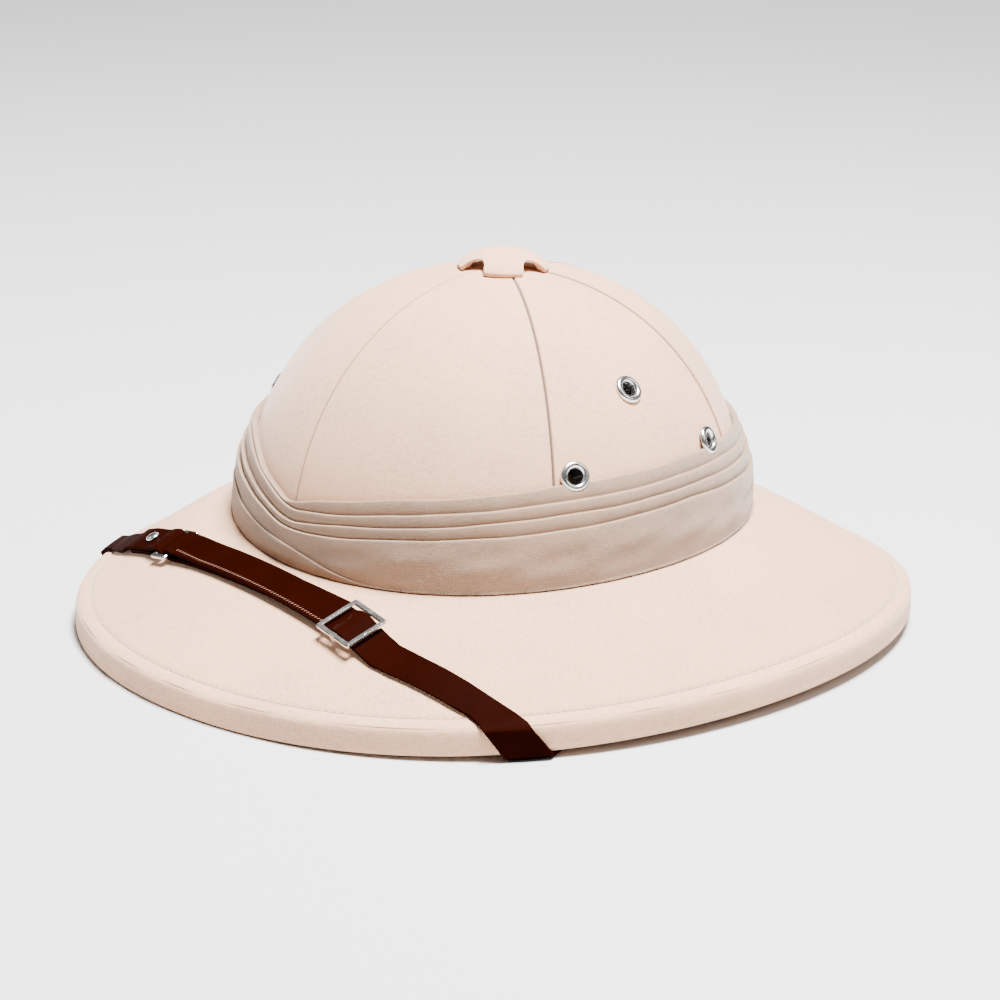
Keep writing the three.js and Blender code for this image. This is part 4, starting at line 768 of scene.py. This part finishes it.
def nickel_plate(name, code, rough_low, rough_high, scratch_mm):
    """Nickel on pressed brass: bright, faintly warm, with fine handling scratches that spread the shine.
    Scratches are drawn at scratch_mm and the haze at about 4 mm."""
    material = new_finish(name)
    place = add_node(material, "ShaderNodeTexCoord").outputs["Object"]
    fine_map = add_node(material, "ShaderNodeMapping",
                        {"Scale": (1000 / scratch_mm, 180 / scratch_mm, 400 / scratch_mm)}, {"Vector": place})
    fine = add_node(material, "ShaderNodeTexNoise", {"Scale": 1.0, "Detail": 4.0},
                    {"Vector": fine_map.outputs["Vector"]})
    haze = add_node(material, "ShaderNodeTexNoise", {"Scale": 250.0, "Detail": 2.0}, {"Vector": place})
    mixed = add_node(material, "ShaderNodeMath", {"operation": "MULTIPLY"},
                     {0: fine.outputs["Fac"], 1: haze.outputs["Fac"]})
    rough = add_node(material, "ShaderNodeMapRange",
                     {"From Min": 0.1, "From Max": 0.45, "To Min": rough_low, "To Max": rough_high},
                     {"Value": mixed.outputs[0]})
    tint = add_node(material, "ShaderNodeMix", {"data_type": "RGBA"}, {0: haze.outputs["Fac"]})
    tint.inputs[6].default_value = to_linear(code)
    tint.inputs[7].default_value = tuple(c * 0.86 for c in to_linear(code)[:3]) + (1.0,)
    bump = add_node(material, "ShaderNodeBump", {"Strength": 0.05, "Distance": 0.00005},
                    {"Height": haze.outputs["Fac"]})
    skin = add_node(material, "ShaderNodeBsdfPrincipled", {"Metallic": 1.0},
                    {"Base Color": tint.outputs[2], "Roughness": rough.outputs["Result"],
                     "Normal": bump.outputs["Normal"]})
    add_node(material, "ShaderNodeOutputMaterial", None, {"Surface": skin.outputs["BSDF"]})
    return material


bright_nickel = nickel_plate("nickel_plated_brass", "#ECEAE6", 0.2, 0.3, 2.0)
post_frame = np.eye(4)
post_frame[:3, 3] = crown_top
post_low = CROWN_BASE + (CROWN_HEIGHT - CROWN_WALL) * vent_share - apex - SEAT_GAP - POST_HEAD_HEIGHT
post_top = BUTTON_RISE - BUTTON_WALL - SEAT_GAP - 0.6
post = spun_piece("vent_post_metal", [
    (0.001, post_low), (POST_HEAD_RADIUS - 0.5, post_low), (POST_HEAD_RADIUS, post_low + 0.4),
    (POST_HEAD_RADIUS, post_low + 0.9), (VENT_RADIUS, post_low + POST_HEAD_HEIGHT - 0.05),
    (POST_RADIUS + 0.2, post_low + POST_HEAD_HEIGHT), (POST_RADIUS, post_low + POST_HEAD_HEIGHT + 0.3),
    (POST_RADIUS, post_top - 0.3), (POST_RADIUS - 0.3, post_top), (0.001, post_top)], post_frame, 48)
post.data.materials.append(bright_nickel)
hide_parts("vent_post")
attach(post, "root")


# Eyelets: six pressed nickel eyelets, three on each side, set through cloth and cork for air.
# Each has a rolled outer rim, a barrel through the wall and a curled inner flange. The press drives the
# two lower ones of each side into the band's folds, nearly down to the crown.
EYELET_RADIUS, EYELET_BORE, EYELET_WALL, EYELET_RIM_HEIGHT, EYELET_FLANGE = 5.8, 3.0, 0.5, 1.5, 1.5
EYELET_STEPS = 56


def node_points(name):
    """Corners of a solid of the frame, in millimetres."""
    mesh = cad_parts[name].data
    flat_points = np.empty(len(mesh.vertices) * 3)
    mesh.vertices.foreach_get("co", flat_points)
    return flat_points.reshape(-1, 3) * 1000


def eyelet_outline(inner_z, seat_z):
    """Profile of an eyelet: up the bore, over the rolled rim, an arch r = middle + half cos t with height
    sin t, back under it to the barrel, and down to the flange inside the crown."""
    barrel, flange = EYELET_BORE + EYELET_WALL, EYELET_BORE + EYELET_WALL + EYELET_FLANGE
    roll = np.radians(np.linspace(180, -20, 18))[1:-2]
    middle, half = (EYELET_RADIUS + EYELET_BORE) / 2, (EYELET_RADIUS - EYELET_BORE) / 2
    foot, arch = seat_z + 0.15, EYELET_RIM_HEIGHT - 0.15
    bore = [(EYELET_BORE, z) for z in (inner_z + 0.1, *np.linspace(inner_z + 0.4, seat_z + 0.2, 5))]
    rim = [(middle + half * np.cos(t), foot + arch * max(np.sin(t), 0)) for t in roll]
    under = [(EYELET_RADIUS, seat_z + 0.1), (EYELET_RADIUS - 0.2, seat_z), (barrel, seat_z)]
    inside = [(barrel, inner_z + EYELET_WALL), (flange - 0.2, inner_z + EYELET_WALL),
              (flange, inner_z + 0.25), (flange - 0.2, inner_z),
              (EYELET_BORE + 0.2, inner_z), (EYELET_BORE, inner_z + 0.1)]
    return bore + rim + under + inside


for side, sign in (("left", 1), ("right", -1)):
    for place_name, turn, h in EYELETS:
        node_name = f"eyelet_{side}_{place_name}"
        at_frame = crown_frame(sign * turn, h)
        local_z = (node_points(node_name) - at_frame[:3, 3]) @ at_frame[:3, 2]
        outline = eyelet_outline(local_z.min(), min(local_z.max() - EYELET_RIM_HEIGHT, PRESSED_BAND))
        eyelet = spun_piece(node_name + "_metal", outline, at_frame, EYELET_STEPS)
        eyelet.data.materials.append(bright_nickel)
        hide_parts(node_name)
        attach(eyelet, "root")


# Chin strap: two pieces of 14 mm coated split leather, dark red brown, cut with clean edges. The short tab is
# folded round the ring, the long piece is doubled to the slider, and both end on studs inside the crown.
STRAP_HEX, STRAP_DARK_HEX, STRAP_EDGE_HIGHLIGHT_HEX = "#1C0401", "#120200", "#280A04"
STRAP_WIDTH, STRAP_EDGE_ROUND, BUCKLE_EDGE_ROUND = 14.0, 0.4, 0.18


def merged_copy(name, node_name):
    """A copy of a solid of the frame with its doubled corners merged."""
    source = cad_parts[node_name].data
    mesh = source.copy()
    mesh.materials.clear()
    piece = bpy.data.objects.new(name, mesh)
    bpy.context.scene.collection.objects.link(piece)
    weld = piece.modifiers.new("weld", "WELD")
    weld.merge_threshold = 1e-6
    depsgraph = bpy.context.evaluated_depsgraph_get()
    piece.data = bpy.data.meshes.new_from_object(piece.evaluated_get(depsgraph))
    piece.data.name = name
    piece.modifiers.clear()
    return piece


def rounded_edges(piece, width_mm, segments, angle):
    """The piece with a rounded bevel on every edge sharper than the angle."""
    bevel = piece.modifiers.new("bevel", "BEVEL")
    bevel.width = width_mm * 0.001
    bevel.segments = segments
    bevel.limit_method = "ANGLE"
    bevel.angle_limit = np.radians(angle)
    bevel.harden_normals = False
    piece.data.polygons.foreach_set("use_smooth", np.ones(len(piece.data.polygons), dtype=bool))
    normals = piece.modifiers.new("normals", "WEIGHTED_NORMAL")
    normals.keep_sharp = True
    return piece


def coated_leather(name):
    """Pigment coated split leather: smooth and dark, with a tight embossed grain of about 0.7 mm, and a
    painted highlight that makes it a little paler where it bends and on its sharp edges. The studio's light
    greys any gloss, so the coat is drawn nearly matt."""
    material = new_finish(name)
    place = add_node(material, "ShaderNodeTexCoord").outputs["Object"]
    grain = add_node(material, "ShaderNodeTexVoronoi",
                     {"feature": "SMOOTH_F1", "Scale": 1300.0, "Smoothness": 0.6}, {"Vector": place})
    pores = add_node(material, "ShaderNodeTexNoise", {"Scale": 900.0, "Detail": 4.0, "Roughness": 0.6},
                     {"Vector": place})
    cloud = add_node(material, "ShaderNodeTexNoise", {"Scale": 60.0, "Detail": 3.0}, {"Vector": place})
    bend = add_node(material, "ShaderNodeNewGeometry").outputs["Pointiness"]
    # Painted highlight: convex bends and edges, found by pointiness, are mixed toward a paler brown
    edge_highlight_mask = add_node(material, "ShaderNodeMapRange", {"From Min": 0.52, "From Max": 0.62}, {"Value": bend})
    base = add_node(material, "ShaderNodeMix", {"data_type": "RGBA"}, {0: cloud.outputs["Fac"]})
    base.inputs[6].default_value = to_linear(STRAP_DARK_HEX)
    base.inputs[7].default_value = to_linear(STRAP_HEX)
    edge = add_node(material, "ShaderNodeMix", {"data_type": "RGBA"},
                    {0: edge_highlight_mask.outputs["Result"], 6: base.outputs[2]})
    edge.inputs[7].default_value = to_linear(STRAP_EDGE_HIGHLIGHT_HEX)
    rough = add_node(material, "ShaderNodeMapRange", {"To Min": 0.42, "To Max": 0.62},
                     {"Value": pores.outputs["Fac"]})
    bump = add_node(material, "ShaderNodeBump", {"Strength": 0.25, "Distance": 0.00012},
                    {"Height": grain.outputs["Distance"]})
    fine = add_node(material, "ShaderNodeBump", {"Strength": 0.12, "Distance": 0.00008},
                    {"Height": pores.outputs["Fac"], "Normal": bump.outputs["Normal"]})
    skin = add_node(material, "ShaderNodeBsdfPrincipled", {"Specular IOR Level": 0.003},
                    {"Base Color": edge.outputs[2], "Roughness": rough.outputs["Result"],
                     "Normal": fine.outputs["Normal"]})
    add_node(material, "ShaderNodeOutputMaterial", None, {"Surface": skin.outputs["BSDF"]})
    return material


strap_leather = coated_leather("brown_coated_leather")
straps = {}
for node_name in ("strap_tab", "strap_long"):
    strap = merged_copy(node_name + "_leather", node_name)
    rounded_edges(strap, STRAP_EDGE_ROUND, 3, 40)
    strap.data.materials.append(strap_leather)
    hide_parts(node_name)
    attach(strap, "root")
    straps[node_name] = strap

# A row of short stitches, each set well aslant, runs along the front edge of the doubled strap.
# The ring's and the slider's middles give its way, and a ray from above finds the strap's face.
RING_AT, SLIDER_AT = np.array([-66.0, -111.2]), np.array([47.4, -120.8])
STRAP_STITCH_LENGTH, STRAP_STITCH_STEP, STRAP_THREAD_RADIUS = 1.3, 1.6, 0.15
STRAP_STITCH_SLANT = np.radians(52)
STRAP_STITCH_INSET, STRAP_STITCH_FROM_RING, STRAP_STITCH_FROM_SLIDER, ABOVE_STRAP = 0.7, 9.0, 11.0, 90
strap_tree = BVHTree.FromObject(straps["strap_long"], bpy.context.evaluated_depsgraph_get())
strap_way = (SLIDER_AT - RING_AT) / np.linalg.norm(SLIDER_AT - RING_AT)
strap_side = np.array([-strap_way[1], strap_way[0]])
stitch_way = np.append(strap_way * np.cos(STRAP_STITCH_SLANT) + strap_side * np.sin(STRAP_STITCH_SLANT), 0)
stitch_sets = [[], [], []]
last_run = np.linalg.norm(SLIDER_AT - RING_AT) - STRAP_STITCH_FROM_SLIDER
for run in np.arange(STRAP_STITCH_FROM_RING, last_run, STRAP_STITCH_STEP):
    spot = RING_AT + strap_way * run - strap_side * (STRAP_WIDTH / 2 - STRAP_STITCH_INSET)
    hit, normal, _, _ = strap_tree.ray_cast(Vector((*spot, ABOVE_STRAP)) * 0.001, Vector((0, 0, -1)))
    if hit is None:
        continue
    up_way = np.array(normal)
    run_way = stitch_way - (stitch_way @ up_way) * up_way
    for kept, new in zip(stitch_sets, (np.array(hit) * 1000, run_way / np.linalg.norm(run_way), up_way)):
        kept.append(new)
strap_stitches = stitch_row("strap_stitches", *(np.array(kept) for kept in stitch_sets),
                            STRAP_STITCH_LENGTH, STRAP_THREAD_RADIUS)
strap_stitches.data.materials.append(sewing_thread("tan_sewing_thread", "#7A5546"))
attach(strap_stitches, "root")

for node_name in ("strap_ring", "strap_slider"):
    buckle = merged_copy(node_name + "_metal", node_name)
    rounded_edges(buckle, BUCKLE_EDGE_ROUND, 2, 25)
    buckle.data.materials.append(bright_nickel)
    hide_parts(node_name)
    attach(buckle, "root")


# Rivet and studs: spun brass heads on a plain shank, nickel plated. The rivet closes the tab's fold, and a
# stud inside the crown holds each end of the strap. Each row has the head's height and the shank's radius.
PINS = [("tab_rivet", 1.5, 1.2), ("stud_left", 1.4, 1.4), ("stud_right", 1.4, 1.4)]


def node_axis(name):
    """Frame of a headed pin from its solid: of the three main directions of its corners, the pin's axis is
    the one that they lie round at the fewest radii, and it points from the shank's end to the head."""
    points = np.unique(np.round(node_points(name), 3), axis=0)
    centre = points.mean(0)

    def round_way(way):
        """Distance of each corner along a line through the centre, and out from it."""
        along = (points - centre) @ way
        return along, np.linalg.norm(points - centre - along[:, None] * way, axis=-1)

    def count_of_radii(way):
        """How many different radii the corners have round a direction, to a tenth of a millimetre."""
        return len(np.unique(np.round(round_way(way)[1], 1)))

    way = min(np.linalg.svd(points - centre)[2], key=count_of_radii)
    along, radii = round_way(way)
    if along[radii > 0.8 * radii.max()].mean() < along.mean():
        way, along = -way, -along
    side = np.cross(way, [0.3, 0.5, 0.8])
    side /= np.linalg.norm(side)
    result = np.eye(4)
    result[:3, 0], result[:3, 1], result[:3, 2], result[:3, 3] = side, np.cross(way, side), way, centre
    return result, along.min(), along.max(), radii.max()


for node_name, head_height, shank in PINS:
    pin_frame, low_end, high_end, head = node_axis(node_name)
    seat = high_end - head_height
    dome = [(head * np.cos(t), seat + 0.25 + (head_height - 0.25) * np.sin(t))
            for t in np.linspace(0, np.pi / 2, 14)]
    dome[-1] = (0.001, high_end)
    outline = [(0.001, low_end), (shank - 0.2, low_end), (shank, low_end + 0.2), (shank, seat),
               (head - 0.25, seat), (head, seat + 0.12)]
    pin = spun_piece(node_name + "_metal", outline + dome, pin_frame, 40)
    pin.data.materials.append(bright_nickel)
    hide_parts(node_name)
    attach(pin, "root")


# Floor, lights and camera: matt white background paper under four soft boxes, the largest light overhead.
# The camera stands at the wearer's front left with a long lens, as in the photograph.
CAMERA_AZIMUTH, CAMERA_ELEVATION, CAMERA_ROLL = 44.587, 17.333, -1.708
CAMERA_DISTANCE, CAMERA_FOCAL_PX, FRAME_PX = 1200.0, 2982.93, 1000.0
TARGET_SHIFT, TARGET_HEIGHT = -1.264, 45.037
FLOOR_HEX, FLOOR_HALF, HAT_MIDDLE, WORLD_STRENGTH = "#C8C8C8", 6, 70.0, 0.1


def studio_paper(name):
    """Matt white background paper: a faint tooth of about 1 mm under flat light."""
    material = new_finish(name)
    place = add_node(material, "ShaderNodeTexCoord").outputs["Object"]
    tooth = add_node(material, "ShaderNodeTexNoise", {"Scale": 900.0, "Detail": 3.0}, {"Vector": place})
    bump = add_node(material, "ShaderNodeBump", {"Strength": 0.05, "Distance": 0.0002},
                    {"Height": tooth.outputs["Fac"]})
    skin = add_node(material, "ShaderNodeBsdfPrincipled",
                    {"Base Color": to_linear(FLOOR_HEX), "Roughness": 0.9},
                    {"Normal": bump.outputs["Normal"]})
    add_node(material, "ShaderNodeOutputMaterial", None, {"Surface": skin.outputs["BSDF"]})
    return material


floor_mesh = bpy.data.meshes.new("floor")
floor_corners = [(x * FLOOR_HALF, y * FLOOR_HALF, 0) for x, y in ((-1, -1), (1, -1), (1, 1), (-1, 1))]
floor_mesh.from_pydata(floor_corners, [], [(0, 1, 2, 3)])
floor = bpy.data.objects.new("floor", floor_mesh)
bpy.context.scene.collection.objects.link(floor)
floor_mesh.materials.append(studio_paper("white_background_paper"))

world = bpy.data.worlds.new("studio")
world.use_nodes = True
world.node_tree.nodes["Background"].inputs["Color"].default_value = (1, 1, 1, 1)
world.node_tree.nodes["Background"].inputs["Strength"].default_value = WORLD_STRENGTH
bpy.context.scene.world = world


def way_to(azimuth, elevation):
    """Unit direction from the hat: azimuth from the front through the wearer's left, elevation up."""
    a, e = np.radians(azimuth), np.radians(elevation)
    return Vector((np.sin(a) * np.cos(e), -np.cos(a) * np.cos(e), np.sin(e)))


def soft_box(name, azimuth, elevation, distance, size, power):
    """A square area light aimed at the hat's middle, with distance and size in metres and power in watts."""
    way = way_to(azimuth, elevation)
    light = bpy.data.lights.new(name, "AREA")
    light.size = size
    light.energy = power
    lamp = bpy.data.objects.new(name, light)
    lamp.location = way * distance + Vector((0, 0, HAT_MIDDLE * 0.001))
    lamp.rotation_euler = way.to_track_quat("Z", "Y").to_euler()
    bpy.context.scene.collection.objects.link(lamp)


soft_box("key_box", 95.0, 80.0, 1.7, 0.6, 225.0)
soft_box("left_box", -60.0, 30.0, 1.9, 0.7, 5.0)
soft_box("right_box", 120.0, 38.0, 1.9, 0.8, 9.0)
soft_box("back_box", 218.0, 17.0, 2.2, 1.6, 12.0)

right = way_to(CAMERA_AZIMUTH + 90, 0)
back = way_to(CAMERA_AZIMUTH, CAMERA_ELEVATION)
target = Vector((0, BRIM_EGG, TARGET_HEIGHT)) + right * TARGET_SHIFT
camera_data = bpy.data.cameras.new("camera")
camera_data.sensor_width = 36.0
camera_data.lens = CAMERA_FOCAL_PX / FRAME_PX * camera_data.sensor_width
camera_data.clip_start, camera_data.clip_end = 0.05, 50.0
camera = bpy.data.objects.new("camera", camera_data)
up = back.cross(right)
turn = Matrix((right, up, back)).transposed() @ Matrix.Rotation(np.radians(-CAMERA_ROLL), 3, "Z")
camera.matrix_world = Matrix.Translation((target + back * CAMERA_DISTANCE) * 0.001) @ turn.to_4x4()
bpy.context.scene.collection.objects.link(camera)
bpy.context.scene.camera = camera
